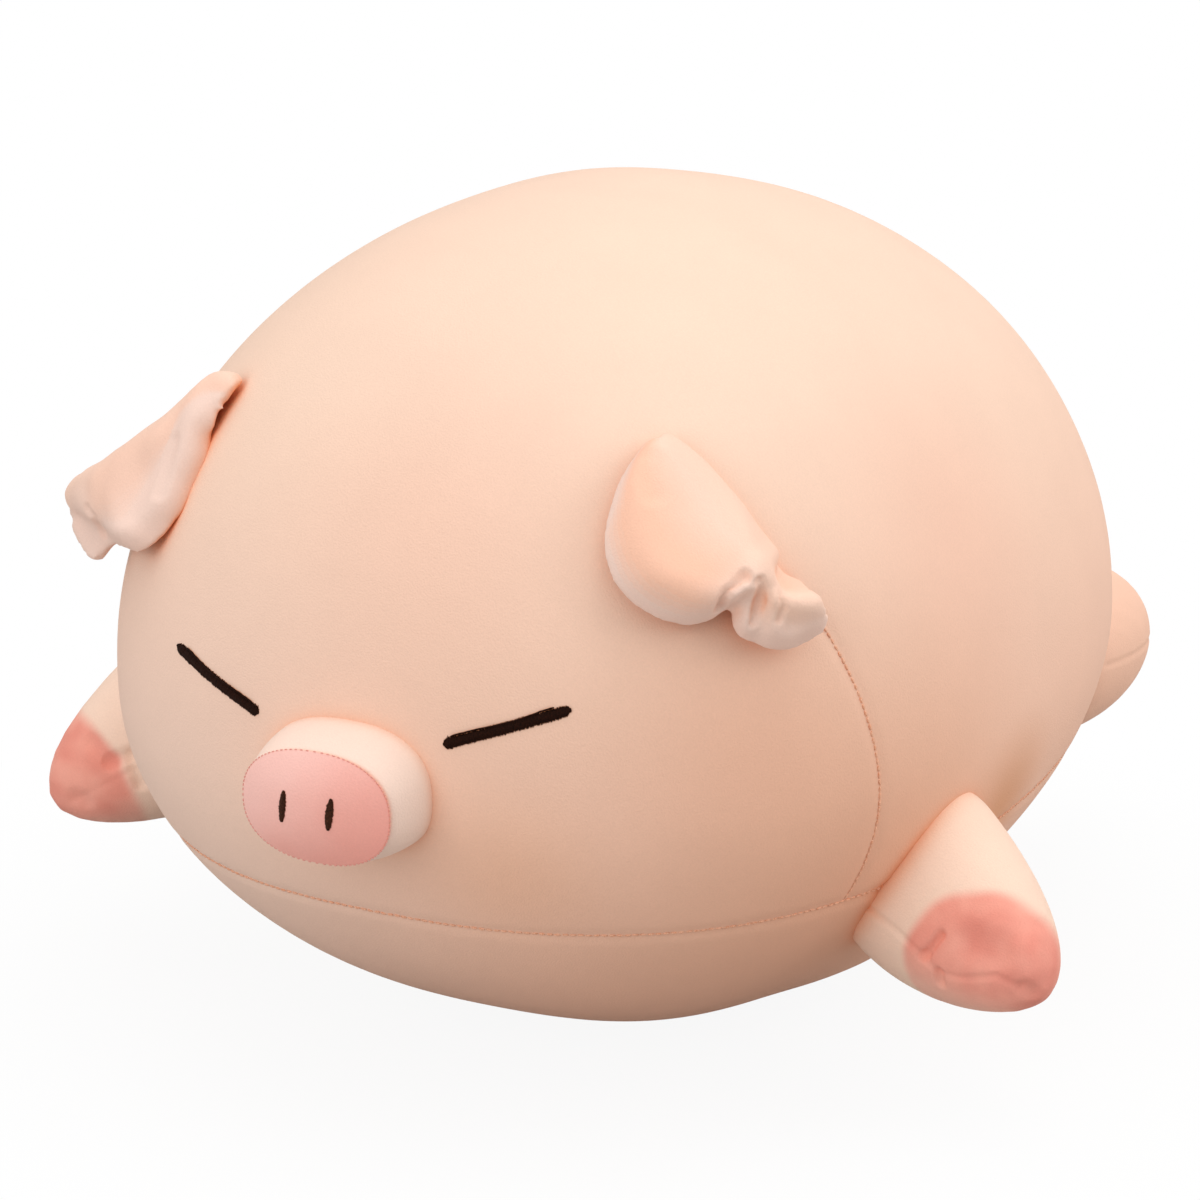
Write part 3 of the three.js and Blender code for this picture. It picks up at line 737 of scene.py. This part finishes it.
# Where each leg stands, its turns in degrees, and in mm its tint, the lift of its seam at shares of its
# length, and its puckers
legPlaces = {
    "front_leg_left": {"shape": frontLeg, "side": 1, "rootY": -60.5 * mm, "rootHeight": 78.1 * mm,
                       "yaw": -30.1, "pitch": -20.6, "roll": -11.1, "length": 76.9 * mm,
                       "tintAt": (58, -14, 5), "tintReach": 31, "seamDepth": .8,
                       "seamLift": {0: 0, .34: .5, .52: -2.3, .61: -5.3, .73: -2.5, .85: 3.7, .95: 2.2, 1: 0},
                       "puckers": [
                           {"line": ((39.7, -26.6, .5), (41.1, -26.2, 6.4), (41.5, -25.2, 12.3)),
                            "width": 2.6, "depth": 2.1},
                           {"line": ((39, -27, 0), (40.4, -26.4, 2)), "width": 3, "depth": 1.6},
                           {"line": ((47.1, -23.8, -1.4), (48.4, -21.8, -5.2)), "width": 3.2, "depth": 1.9},
                           {"line": ((54, -20.5, 17), (60, -17, 18.5)), "width": 11, "depth": 1.7},
                           {"line": ((66.7, -7.6, 23.9), (70, -8, 18)), "width": 9, "depth": -.9},
                           {"line": ((73.5, -8, 11.5), (75.2, -5.4, 10.6)), "width": 5, "depth": 1.3},
                       ]},
    "front_leg_right": {"shape": frontLeg, "side": -1, "rootY": -47 * mm, "rootHeight": 94.7 * mm,
                        "yaw": -50.5, "pitch": -30.7, "roll": -12.8, "length": 77.2 * mm,
                        "tintAt": (64, 2, 10), "tintReach": 30.6, "seamDepth": .25,
                        "seamLift": {0: 0, .4: 3, .6: 5, .8: 3, 1: 0},
                        "puckers": [
                            {"line": ((49.8, -21.7, 16.2), (41.6, -24.7, 14.6)), "width": 4.5, "depth": 1.5},
                            {"line": ((51, -17, 26), (49.8, -21.7, 16.2)), "width": 6, "depth": 1.3},
                            {"line": ((45, -25.2, 2), (41.6, -25, 13)), "width": 4.5, "depth": 1.5},
                            {"line": ((69.1, -12.9, 10.5), (67, -14, 8)), "width": 6, "depth": 1.2},
                        ]},
    "hind_leg_left": {**hindPlace, "side": 1},
    "hind_leg_right": {**hindPlace, "side": -1},
}
legMake = {
    "cuts": 31,
    "voxel": 4 * mm,
    "sewn": 6 * mm,
    "seamPitch": .7 * mm,
    "seamWidth": 2.1 * mm,
    "seamEnd": .95,          # the pressed seam stops at this share of the length, so the tip stays round
}
tintEdge = {
    "unevenSize": 14 * mm,
    "unevenDepth": 1.2 * mm,
    "width": 5 * mm,
    "paleHeight": -12 * mm,  # as pale as it gets from here down, and no paler from the next one up
    "fullHeight": 2 * mm,
    "pale": .5,
}


def legFrame(leg):
    # Along the leg, across it and up, for the pig's left, with the root's centre as the place
    yaw, pitch, roll = (math.radians(leg[name]) for name in ("yaw", "pitch", "roll"))
    along = Vector((math.cos(pitch) * math.cos(yaw), math.cos(pitch) * math.sin(yaw), math.sin(pitch)))
    across = Vector((0, 0, 1)).cross(along).normalized()
    upper = along.cross(across)
    turned = across * math.cos(roll) + upper * math.sin(roll)
    above = upper * math.cos(roll) - across * math.sin(roll)
    place = Matrix((along, turned, above)).transposed().to_4x4()
    place.translation = onSide(leg["rootY"], leg["rootHeight"])
    if leg["side"] < 0:
        place = Matrix.Scale(-1, 4, (1, 0, 0)) @ place
    return place


def legPoint(leg, share, turn, closing=1):
    # share runs from the root, 0, to the tip, 1; turn is 0 on the seam and 90 degrees on top
    shape = leg["shape"]
    t = max(share, 0)
    wide = (1 - t ** shape["outline"]) ** (1 / shape["outline"]) * (1 + shape["flare"] * t)
    high = (1 - t ** shape["profile"]) ** (1 / shape["profile"])
    halfHeight = shape["above"] if math.sin(turn) > 0 else shape["below"]
    if math.sin(turn) > 0:
        halfHeight *= 1 + shape["shoulder"] * (1 - t) ** 2
    return Vector((
        share * leg["length"],
        shape["halfWidth"] * wide * closing * math.cos(turn),
        shape["rise"] * t * t + halfHeight * high * closing * math.sin(turn),
    ))


def legSeamLine(leg, steps=60):
    # From the root's one side round the tip to the other
    line = []
    for k in range(steps + 1):
        way = math.pi * k / steps
        share = math.sin(way) ** (2 / leg["shape"]["outline"])
        point = legPoint(leg, share, 0 if way < math.pi / 2 else math.pi)
        if way > math.pi / 2 and "seamLift" in leg:
            lift = leg["seamLift"]
            point.z += float(np.interp(share, list(lift), list(lift.values()))) * mm
        line.append(point)
    return line


def tintLeg(piece, leg):
    # How pink each point is: a soft-edged round patch, paler under the leg
    points = pointsOf(piece)
    tint = np.zeros(len(points))
    if "tintAt" in leg:
        away = np.linalg.norm(points - np.array(leg["tintAt"]) * mm, axis=1)
        wander = unevenness(points, tintEdge["unevenSize"]) * tintEdge["unevenDepth"]
        inside = np.clip((leg["tintReach"] * mm - away + wander) / tintEdge["width"] + .5, 0, 1)
        heights, pale = (tintEdge["paleHeight"], tintEdge["fullHeight"]), tintEdge["pale"]
        tint = inside * inside * (3 - 2 * inside) * np.interp(points[:, 2], heights, (pale, 1))
    piece.data.attributes.new("tint", "FLOAT", "POINT").data.foreach_set("value", tint)


def makeLeg(name, finish):
    leg = legPlaces[name]
    shape = leg["shape"]
    form = roundBlank(legMake["cuts"])
    for vertex in form.verts:
        x, y, z = vertex.co
        ring = math.hypot(y, z)
        if x > 0:
            vertex.co = legPoint(leg, min(x, 1) ** (2 / shape["outline"]), math.atan2(z, y))
        else:
            vertex.co = legPoint(leg, x * shape["rootDepth"] / leg["length"], math.atan2(z, y), ring)
    piece = newPiece(name + "_cloth", form, finish)
    remesh(piece, legMake["voxel"])
    seam = legSeamLine(leg)
    seamHere = treeOf(seam)
    plump(piece, lambda p: 1 if p.x < 0 else 1 - seamHere.find(p)[2] / legMake["sewn"], shape["cap"])
    subdivide(piece, 2)
    pitch = legMake["seamPitch"]
    fineSeam = [p for p, _ in evenly(seam, pitch) if p.x < leg["length"] * legMake["seamEnd"]]
    press(piece, fineSeam, legMake["seamWidth"], leg["seamDepth"] * mm)
    for pucker in leg.get("puckers", []):
        pressLine(piece, pucker, pitch)
    tintLeg(piece, leg)
    place = legFrame(leg)
    piece.data.transform(place)
    if leg["side"] < 0:
        piece.data.flip_normals()
    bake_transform(piece)
    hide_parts(name + "_upper_panel", name + "_lower_panel", name + "_filling")
    return piece


# Ears

ear = {
    "rootY": -142 * mm,
    "rootHeight": 241 * mm,
    "rootWay": (.69, .137, -.71),
    "rootDepth": 2 * mm,
    "thickness": 5.4 * mm,
    "voxel": 1.25 * mm,
    "softening": 6,
    "columns": 96,
    "rows": 44,
    "creasePitch": .5 * mm,
}
# Creases pressed into the ears where their cloth is pinched, in the same mm as the nets below
earCreases = {
    "ear_left": [
        {"width": 3.6, "depth": 2.6,
         "line": ((16.6, 25.8, 29.5), (17.4, 24.8, 34.4), (17.4, 23.4, 37.3), (18.9, 19.7, 39.3),
                  (20.4, 12.9, 38.5))},
        {"width": 2.8, "depth": 1,
         "line": ((16.8, 25.6, 29.8), (19.5, 25.6, 29.4), (21.4, 25.6, 27.6))},
        {"width": 3.2, "depth": 1.6,
         "line": ((22.4, 25.6, 26), (26, 18.7, 26.4), (29.1, 14.8, 29.5), (31.7, 13.1, 32.3))},
        {"width": 2.6, "depth": 1.3,
         "line": ((30, 24.4, 21), (31.3, 23.9, 23.1), (34.9, 20.6, 24.4), (36.9, 16.7, 25.9))},
        {"width": 7, "depth": 1,
         "line": ((-34.6, 12.8, 17.6), (-30.1, 14, 24.5), (-25, 15, 28))},
    ],
    "ear_right": [
        {"width": 4.5, "depth": .9, "line": ((-19.1, 10.1, 26.8), (-14.2, 8.1, 34.9), (-9, 6.4, 43.9))},
        {"width": 3.4, "depth": 1.2, "line": ((27.8, 20.7, 32.4), (26.6, 17.4, 35.9), (33.6, 10, 32.9))},
    ],
}
# Down each ear in strips, from its upper end to its lower, each from the root over the fold to the
# rim: along the root, outward and forward, in mm
earNets = {
    "ear_left": [
        ((-37, 0, 4), (-37, 2, 3), (-37, 4, 6), (-37, 5, 7), (-37, 6, 8), (-37, 5, 8), (-37, 2, 8)),
        ((-32, 0, 1), (-32, 4, 2), (-32, 8, 6), (-33, 10, 12), (-34, 10, 18), (-35, 8, 20), (-35, 1, 21)),
        ((-21, 0, 0), (-21, 5, 1), (-22, 10, 5), (-24, 12, 15), (-27, 12, 25), (-29, 9, 32), (-30, 1, 36)),
        ((-11, 0, 1), (-12, 6, 2), (-12, 12, 6), (-12, 14, 17), (-15, 14, 31), (-18, 11, 42), (-21, 1, 49)),
        ((-2, 0, 2), (-2, 8, 3), (-2, 15, 9), (-1, 17, 20), (-2, 16, 35), (-4, 14, 48), (-8, 1, 55)),
        ((7, 0, 3), (7, 9, 5), (6, 18, 13), (8, 20, 22), (8, 19, 34), (8, 16, 45), (6, 1, 52)),
        ((13, 0, 4), (13, 10, 6), (13, 20, 17), (14, 22, 23), (15, 21, 32), (15, 18, 40), (16, 2, 44)),
        ((17, 0, 4), (16, 11, 7), (16, 22, 19), (17, 24, 24), (18, 23, 30), (18, 20, 35), (19, 4, 36)),
        ((19, 0, 4), (19, 11, 7), (19, 22, 19), (20, 24, 24), (20, 24, 28), (20, 20, 28), (18, 15, 25)),
        ((21, 0, 4), (22, 11, 14), (22, 22, 21), (23, 22, 24), (24, 17, 25), (24, 14, 29), (25, 6, 31)),
        ((23, 0, 4), (24, 10, 15), (25, 21, 21), (26, 18, 23), (29, 10, 25), (30, 11, 32), (31, 3, 33)),
        ((25, 0, 4), (26, 10, 15), (27, 20, 22), (29, 14, 23), (32, 7, 24), (34, 7, 29), (37, 2, 30)),
        ((27, 0, 4), (28, 10, 16), (30, 21, 23), (32, 18, 24), (35, 14, 26), (38, 11, 27), (42, 2, 27)),
        ((30, 0, 3), (31, 10, 14), (33, 20, 21), (36, 17, 21), (39, 12, 21), (42, 10, 23), (46, 2, 22)),
        ((32, 0, 2), (34, 10, 11), (36, 21, 18), (39, 20, 18), (42, 16, 17), (45, 12, 17), (48, 3, 15)),
        ((34, 0, 1), (36, 10, 9), (39, 21, 14), (42, 20, 14), (44, 17, 12), (46, 14, 12), (49, 6, 10)),
        ((35, 0, 0), (38, 10, 6), (41, 19, 11), (43, 18, 11), (45, 16, 10), (45, 14, 9), (46, 11, 9)),
    ],
    "ear_right": [
        ((-41, 0, 5), (-40, 0, 4), (-40, 0, 8), (-39, 1, 9), (-38, 1, 11), (-36, 2, 13), (-34, 2, 14)),
        ((-38, 0, 2), (-38, 2, 2), (-38, 4, 4), (-36, 5, 7), (-34, 5, 10), (-33, 4, 14), (-31, 1, 16)),
        ((-33, 0, 0), (-34, 3, 0), (-34, 7, 2), (-32, 8, 6), (-30, 8, 11), (-30, 6, 18), (-28, 0, 19)),
        ((-26, 0, 0), (-28, 5, 1), (-30, 9, 5), (-28, 10, 11), (-25, 10, 15), (-26, 7, 22), (-23, -1, 20)),
        ((-18, 0, 0), (-20, 5, 2), (-22, 11, 9), (-20, 11, 16), (-17, 9, 22), (-20, 5, 30), (-20, -4, 27)),
        ((-8, 0, 0), (-10, 7, 3), (-13, 13, 12), (-12, 14, 22), (-9, 8, 30), (-13, 4, 37), (-13, -5, 35)),
        ((1, 0, 0), (-2, 8, 3), (-4, 16, 14), (-3, 16, 23), (-1, 8, 35), (-6, 4, 45), (-7, -5, 43)),
        ((10, 0, 0), (8, 9, 3), (5, 18, 15), (6, 19, 25), (7, 9, 43), (3, 5, 49), (2, -4, 50)),
        ((16, 0, 0), (14, 10, 4), (11, 20, 16), (12, 20, 26), (12, 11, 46), (9, 8, 52), (10, -1, 53)),
        ((20, 0, 0), (18, 11, 4), (15, 21, 17), (16, 21, 26), (18, 13, 40), (16, 10, 46), (22, 2, 43)),
        ((23, 0, 0), (21, 11, 4), (19, 22, 17), (20, 22, 26), (23, 15, 35), (28, 9, 33), (31, 3, 35)),
        ((25, 0, 0), (24, 12, 4), (22, 23, 17), (24, 22, 24), (26, 17, 33), (33, 12, 29), (37, 4, 33)),
        ((27, 0, 0), (26, 12, 3), (26, 24, 16), (28, 23, 22), (30, 19, 29), (38, 14, 24), (42, 5, 35)),
        ((29, 0, 0), (30, 12, 3), (30, 24, 15), (32, 24, 20), (34, 20, 25), (42, 16, 20), (46, 6, 35)),
        ((31, 0, 0), (32, 13, 3), (34, 25, 14), (37, 24, 18), (39, 21, 20), (45, 18, 18), (48, 8, 32)),
        ((33, 0, 0), (36, 13, 3), (38, 25, 14), (41, 24, 17), (44, 22, 17), (47, 19, 19), (49, 12, 26)),
        ((35, 0, 0), (38, 12, 3), (41, 25, 14), (43, 24, 16), (45, 22, 17), (47, 20, 19), (49, 16, 21)),
    ],
}


def earFrame(side):
    root = onSide(ear["rootY"], ear["rootHeight"])
    outward = skinNormal(root)
    along = Vector(ear["rootWay"])
    along = (along - along.project(outward)).normalized()
    forward = along.cross(outward)
    place = Matrix((along, outward, forward)).transposed().to_4x4()
    place.translation = root - outward * ear["rootDepth"]
    return Matrix.Scale(-1, 4, (1, 0, 0)) @ place if side < 0 else place


def earPoint(strips, u, v):
    fold = [smoothLine([strip[k] for strip in strips], u) * mm for k in range(len(strips[0]))]
    return smoothLine(fold, v)


def makeEar(name, side, finish):
    form = bmesh.new()
    bmesh.ops.create_grid(form, x_segments=ear["columns"], y_segments=ear["rows"], size=.5)
    along, across = (form.verts.layers.float.new(way) for way in ("along", "across"))
    for vertex in form.verts:
        vertex[along], vertex[across] = vertex.co.x + .5, vertex.co.y + .5
        vertex.co = earPoint(earNets[name], vertex.co.x + .5, vertex.co.y + .5)
    piece = newPiece(name + "_cloth", form, finish)
    wall = piece.modifiers.new("two layers", "SOLIDIFY")
    wall.thickness = ear["thickness"]
    wall.offset = 0
    settle(piece)
    drawn = treeOf(pointsOf(piece))
    shares = {way: [spot.value for spot in piece.data.attributes[way].data] for way in ("along", "across")}
    remesh(piece, ear["voxel"])
    soften(piece, ear["softening"])
    subdivide(piece, 1)
    nearest = [drawn.find(point)[1] for point in pointsOf(piece)]
    for way, values in shares.items():
        kept = piece.data.attributes.new(way, "FLOAT", "POINT")
        kept.data.foreach_set("value", [values[index] for index in nearest])
    for crease in earCreases[name]:
        pressLine(piece, crease, ear["creasePitch"])
    piece.data.transform(earFrame(side))
    if side < 0:
        piece.data.flip_normals()
    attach(piece, name)
    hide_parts(name + "_outer_panel", name + "_inner_panel", name + "_wadding")


# Snout

snout = {
    "height": 141.5 * mm,
    "rimRise": 1.5 * mm,
    "length": 22 * mm,
    "domeHeight": 7.5 * mm,
    "baseHalfWidth": 33.2 * mm,
    "baseHalfHeight": 24 * mm,
    "rimHalfWidth": 30 * mm,
    "rimHalfHeight": 20.7 * mm,
    "rootDepth": 14 * mm,
    "segments": 64,
    "squareness": .86,
    "baseSquareness": .8,
    "baseRise": 3.6 * mm,
    "bulge": 1 * mm,
    "tuck": 1.2 * mm,
    "tuckPower": 8,
    "domePower": 2.1,
    "domeTip": .02,
    "flangeShare": .9,
    "flangeDepth": 3 * mm,
    "steps": 14,
}


def snoutY(forward):
    # Where a point lies that stands this far out from the face
    return onFront(0, snout["height"]).y - forward


def fromBase(name, rimName, share):
    return snout[name] + (snout[rimName] - snout[name]) * share


def snoutRing(form, halfWidth, halfHeight, y, rise, squareness=snout["squareness"]):
    # An oval of edges, square to the way the snout points
    made = bmesh.ops.create_circle(form, segments=snout["segments"], radius=1)["verts"]
    for vertex in made:
        x, z = (power(c, squareness) for c in vertex.co.xy)
        vertex.co = (halfWidth * x, y, snout["height"] + rise + halfHeight * z)
    return list(dict.fromkeys(edge for vertex in made for edge in vertex.link_edges))


def loftRings(form, rings):
    # Joins the rings in a row and closes the first and the last round their middles
    for first, second in zip(rings, rings[1:]):
        bmesh.ops.bridge_loops(form, edges=first + second)
    for ring in (rings[0], rings[-1]):
        bmesh.ops.edgeloop_fill(form, edges=ring)
    bmesh.ops.poke(form, faces=[face for face in form.faces if len(face.verts) > 4])


def makeBand(finish):
    form = bmesh.new()
    rings = []
    for k in range(snout["steps"] + 1):
        t = k / snout["steps"]
        swell = snout["bulge"] * math.sin(math.pi * t) - snout["tuck"] * t ** snout["tuckPower"]
        halfWidth = fromBase("baseHalfWidth", "rimHalfWidth", t * t) + swell
        halfHeight = fromBase("baseHalfHeight", "rimHalfHeight", t * t) + swell
        y = snoutY((snout["length"] + snout["rootDepth"]) * t - snout["rootDepth"])
        rings.append(snoutRing(form, halfWidth, halfHeight, y, fromBase("baseRise", "rimRise", t),
                               fromBase("baseSquareness", "squareness", t)))
    loftRings(form, rings)
    band = newPiece("snout_band", form, finish)
    subdivide(band, 1)
    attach(band, "torso")
    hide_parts("snout_side_band", "snout_filling")


def makeDisc(finish):
    # The domed front, from a flange held in the band over the rim to the middle
    form = bmesh.new()
    steps = [(snout["flangeShare"], -snout["flangeDepth"])]
    for k in range(snout["steps"] + 1):
        share = math.cos(math.pi / 2 * k / snout["steps"])
        steps.append((max(share, snout["domeTip"]), snout["domeHeight"] * (1 - share ** snout["domePower"])))
    rings = [snoutRing(form, snout["rimHalfWidth"] * share, snout["rimHalfHeight"] * share,
                       snoutY(snout["length"] + forward), snout["rimRise"]) for share, forward in steps]
    loftRings(form, rings)
    disc = newPiece("snout_disc", form, finish)
    subdivide(disc, 1)
    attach(disc, "torso")
    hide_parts("snout_front_panel")
    return disc


# Stitches

def addStitch(form, at, way, up, length, width, height):
    # One pull of thread: a slim grain that lies along way and stands up a little
    side = up.cross(way).normalized()
    rise = way.cross(side).normalized()
    turn = Matrix((way.normalized(), side, rise)).transposed().to_4x4()
    size = Matrix.Diagonal((length / 2, width / 2, height / 2, 1))
    grain = Matrix.Rotation(math.pi / 2, 4, "Y")
    bmesh.ops.create_uvsphere(form, u_segments=6, v_segments=4, radius=1,
                              matrix=Matrix.Translation(at) @ turn @ size @ grain)


def dropOn(surface, point, outward, reach=15 * mm):
    # Where a needle pushed straight in meets the cloth, and which way the cloth faces there
    hit, normal, _, _ = surface.ray_cast(point + outward * reach, -outward, reach * 3)
    return hit, normal


rimStitch = {"count": 92, "length": 1.3 * mm, "width": .5 * mm, "height": .5 * mm, "outward": .55, "aside": .02}
seamStitch = {"length": 2.5 * mm, "pitch": 2.8 * mm, "width": 1.1 * mm, "height": 1 * mm, "lift": .1 * mm}


def sewSeam(name, line, surface, finish, keep=lambda point: True):
    form = bmesh.new()
    for point, way in evenly(line, seamStitch["pitch"]):
        hit, normal = dropOn(surface, point, skinNormal(point))
        if hit and keep(hit):
            addStitch(form, hit + normal * seamStitch["lift"], way, normal,
                      seamStitch["length"], seamStitch["width"], seamStitch["height"])
    seam = newPiece(name + "_stitches", form, finish)
    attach(seam, "torso")
    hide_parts(name)


def outside(surfaces, point):
    for surface in surfaces:
        near, normal, _, _ = surface.find_nearest(point)
        if near and (point - near).dot(normal) < 0:
            return False
    return True


def bellyRun(name, legSurfaces):
    # The belly seam shows in four runs, between the legs
    def keep(point):
        aside = abs(point.x) > plushBody["halfWidth"] / 2
        here = ("left" if point.x > 0 else "right") if aside else ("front" if point.y < 0 else "back")
        return here == name and outside(legSurfaces, point)
    return keep


def sewRim(finish):
    # Small stitches where the snout's front meets its side
    form = bmesh.new()
    middle = Vector((0, snoutY(snout["length"]), snout["height"] + snout["rimRise"]))

    def at(turn):
        x, z = (power(c, snout["squareness"]) for c in (math.cos(turn), math.sin(turn)))
        return middle + Vector((snout["rimHalfWidth"] * x, 0, snout["rimHalfHeight"] * z))

    for k in range(rimStitch["count"]):
        turn, aside = 2 * math.pi * k / rimStitch["count"], rimStitch["aside"]
        spot = at(turn)
        outward = ((spot - middle).normalized() * rimStitch["outward"] + Vector((0, -1, 0))).normalized()
        way = (at(turn + aside) - at(turn - aside)).normalized()
        addStitch(form, spot, way, outward, rimStitch["length"], rimStitch["width"], rimStitch["height"])
    rim = newPiece("snout_rim_stitches", form, finish)
    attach(rim, "torso")


eye = {"innerX": 38 * mm, "innerHeight": 165 * mm, "outerX": 80.5 * mm, "outerHeight": 180 * mm,
       "width": 4.6 * mm, "pitch": .42 * mm, "thread": .62 * mm, "raise": .9 * mm, "strands": 20,
       "knot": .16, "knotAt": .05, "knotReach": .035, "startRound": .025, "endRound": .06, "blunt": .12,
       "slimming": .1}
nostril = {"spacing": 19 * mm, "width": 3.2 * mm, "height": 11 * mm, "rise": 1 * mm, "lean": .6 * mm,
           "pitch": .42 * mm, "thread": .6 * mm, "raise": .8 * mm, "taper": .85}
# How unlike the next a thread of satin stitch can be
satin = {"wobble": .15 * mm, "slant": (.05, .2), "length": (.94, 1.1), "height": (.9, 1.1),
         "overlap": 1.2, "lift": .05 * mm}
looseThread = {"from": .1, "over": .8, "edge": .45, "wave": .35 * mm, "waves": 9, "shake": .1 * mm,
               "turn": .1, "lift": .5 * mm, "length": 3.4 * mm}


def satinBar(name, ends, widthAt, surface, toward, sizes, finish, dice):
    # Satin stitch: threads laid side by side across the bar, each a little unlike the next, and where
    # there is a strand, one loose thread that wanders along the upper edge
    start, end = ends
    run = end - start
    ahead = run.normalized()
    count = int(run.length / sizes["pitch"])
    form = bmesh.new()
    for k in range(count + 1):
        t = k / count
        hit, normal = dropOn(surface, start.lerp(end, t), toward)
        if not hit:
            continue
        across = normal.cross(run).normalized()
        wobble = across * dice.uniform(-satin["wobble"], satin["wobble"])
        slant = (across + ahead * dice.uniform(*satin["slant"])).normalized()
        addStitch(form, hit + wobble + normal * satin["lift"], slant, normal,
                  widthAt(t) * dice.uniform(*satin["length"]), sizes["thread"] * satin["overlap"],
                  sizes["raise"] * 2 * dice.uniform(*satin["height"]))
    for k in range(sizes.get("strands", 0)):
        t = looseThread["from"] + looseThread["over"] * k / sizes["strands"]
        hit, normal = dropOn(surface, start.lerp(end, t), toward)
        upper = normal.cross(run).normalized() * math.copysign(1, run.x)
        wave = looseThread["waves"] * t
        shake = dice.uniform(-looseThread["shake"], looseThread["shake"])
        edge = widthAt(t) * looseThread["edge"] + looseThread["wave"] * math.sin(wave) + shake
        heading = (ahead + upper * looseThread["turn"] * math.cos(wave)).normalized()
        addStitch(form, hit + upper * edge + normal * looseThread["lift"], heading, normal,
                  looseThread["length"], sizes["thread"], sizes["raise"])
    bar = newPiece(name + "_satin", form, finish)
    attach(bar, "torso")
    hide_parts(name)


def makeEye(name, side, surface, finish, dice):
    ends = [onFront(side * eye[end + "X"], eye[end + "Height"]) for end in ("inner", "outer")]

    def widthAt(t):
        # A knot near the inner end, both ends blunt, and a little slimmer before the middle
        knot = 1 + eye["knot"] * math.exp(-((t - eye["knotAt"]) / eye["knotReach"]) ** 2)
        end = 1 - min(t / eye["startRound"], (1 - t) / eye["endRound"], 1)
        slim = 1 - eye["slimming"] * (1 - min(2 * t, 1))
        return eye["width"] * knot * math.sqrt(max(1 - end ** 2, eye["blunt"])) * slim

    toward = (skinNormal(ends[0]) + skinNormal(ends[1])).normalized()
    satinBar(name, ends, widthAt, surface, toward, eye, finish, dice)


def makeNostril(name, side, surface, finish, dice):
    middle = snout["height"] + snout["rimRise"] + nostril["rise"]
    x = side * nostril["spacing"] / 2
    y = snoutY(snout["length"] + snout["domeHeight"])
    ends = [Vector((x + nostril["lean"] * half * 2, y, middle + nostril["height"] * half)) for half in (-.5, .5)]

    def widthAt(t):
        return nostril["width"] * math.sqrt(1 - nostril["taper"] * (2 * t - 1) ** 2)

    satinBar(name, ends, widthAt, surface, Vector((0, -1, 0)), nostril, finish, dice)


# Tail

tail = {"height": 176 * mm, "sink": 1.7 * mm, "stem": 16 * mm, "curlRadius": 10 * mm, "curlTurn": 1.1,
        "curlSpread": 14 * mm, "rootRadius": 6 * mm, "tipRadius": 4.2 * mm, "steps": 40, "points": 9,
        "inside": 6 * mm, "gap": .3 * mm, "roundFrom": .93, "blunt": .04}


def tailLine():
    root = onBack(tail["height"])
    root += skinNormal(root) * (tail["rootRadius"] + tail["gap"] - tail["sink"])
    points = [root - Vector((0, tail["inside"], 0)), root, root + Vector((0, tail["stem"], 0))]
    for k in range(1, tail["points"] + 1):
        share = k / tail["points"]
        turn = 2 * math.pi * tail["curlTurn"] * share
        points.append(root + Vector((
            tail["curlSpread"] * share,
            tail["stem"] + tail["curlRadius"] * math.sin(turn),
            tail["curlRadius"] * (1 - math.cos(turn)),
        )))
    return points


def makeTail(finish):
    points = tailLine()
    strand = bpy.data.curves.new("tail", "CURVE")
    strand.dimensions = "3D"
    strand.bevel_depth = 1
    strand.bevel_resolution = 6
    strand.use_fill_caps = True
    line = strand.splines.new("POLY")
    line.points.add(tail["steps"])
    for k, point in enumerate(line.points):
        t = k / tail["steps"]
        point.co = (*smoothLine(points, t), 1)
        taper = tail["rootRadius"] + (tail["tipRadius"] - tail["rootRadius"]) * t
        tip = max(0, (t - tail["roundFrom"]) / (1 - tail["roundFrom"]))
        point.radius = taper * math.sqrt(max(1 - tip ** 2, tail["blunt"]))
    drawn = bpy.data.objects.new("tail", strand)
    scene.collection.objects.link(drawn)
    form = bmesh.new()
    form.from_mesh(drawn.evaluated_get(bpy.context.evaluated_depsgraph_get()).to_mesh())
    bpy.data.objects.remove(drawn)
    piece = newPiece("tail_curl", form, finish)
    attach(piece, "tail")
    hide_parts("tail_skin", "tail_filling")


# Making

placeCamera()
layFloor()
lightStudio()
print("studio ready")

peach = peachVelour()
brownThread = threadFinish("dark brown satin thread", colour(46, 20, 10), colour(20, 7, 3), .6, .06)
nostrilThread = threadFinish("brown satin thread", colour(78, 44, 28), colour(30, 14, 8), .6, .08)
rimThread = threadFinish("pink seam thread", colour(240, 178, 166), colour(228, 154, 142), .8)
peachThread = threadFinish("peach seam thread", colour(246, 200, 172), colour(226, 158, 122), .8)

body = makeBody(peach)
print("body filled")

legCloth = legVelour()
legs = {name: makeLeg(name, legCloth if "tintAt" in leg else peach) for name, leg in legPlaces.items()}
print("legs filled")

for name, side in (("ear_left", 1), ("ear_right", -1)):
    makeEar(name, side, earVelour(name))
print("ears folded")

makeBand(snoutVelour())
disc = makeDisc(pinkVelour())
print("snout filled")

sewRim(rimThread)
dice = random.Random(7)
bodySurface = surfaceOf(body)
discSurface = surfaceOf(disc)
legSurfaces = [surfaceOf(piece) for piece in legs.values()]
for name, side in (("left", 1), ("right", -1)):
    makeEye("eye_" + name, side, bodySurface, brownThread, dice)
    makeNostril("nostril_" + name, side, discSurface, nostrilThread, dice)
    sewSeam("dart_seam_" + name, seamLines["dart_seam_" + name], bodySurface, peachThread)
for name in ("front", "back", "left", "right"):
    sewSeam("belly_seam_" + name, seamLines["belly"], bodySurface, peachThread, bellyRun(name, legSurfaces))
print("seams sewn")

makeTail(peach)
print("tail curled")
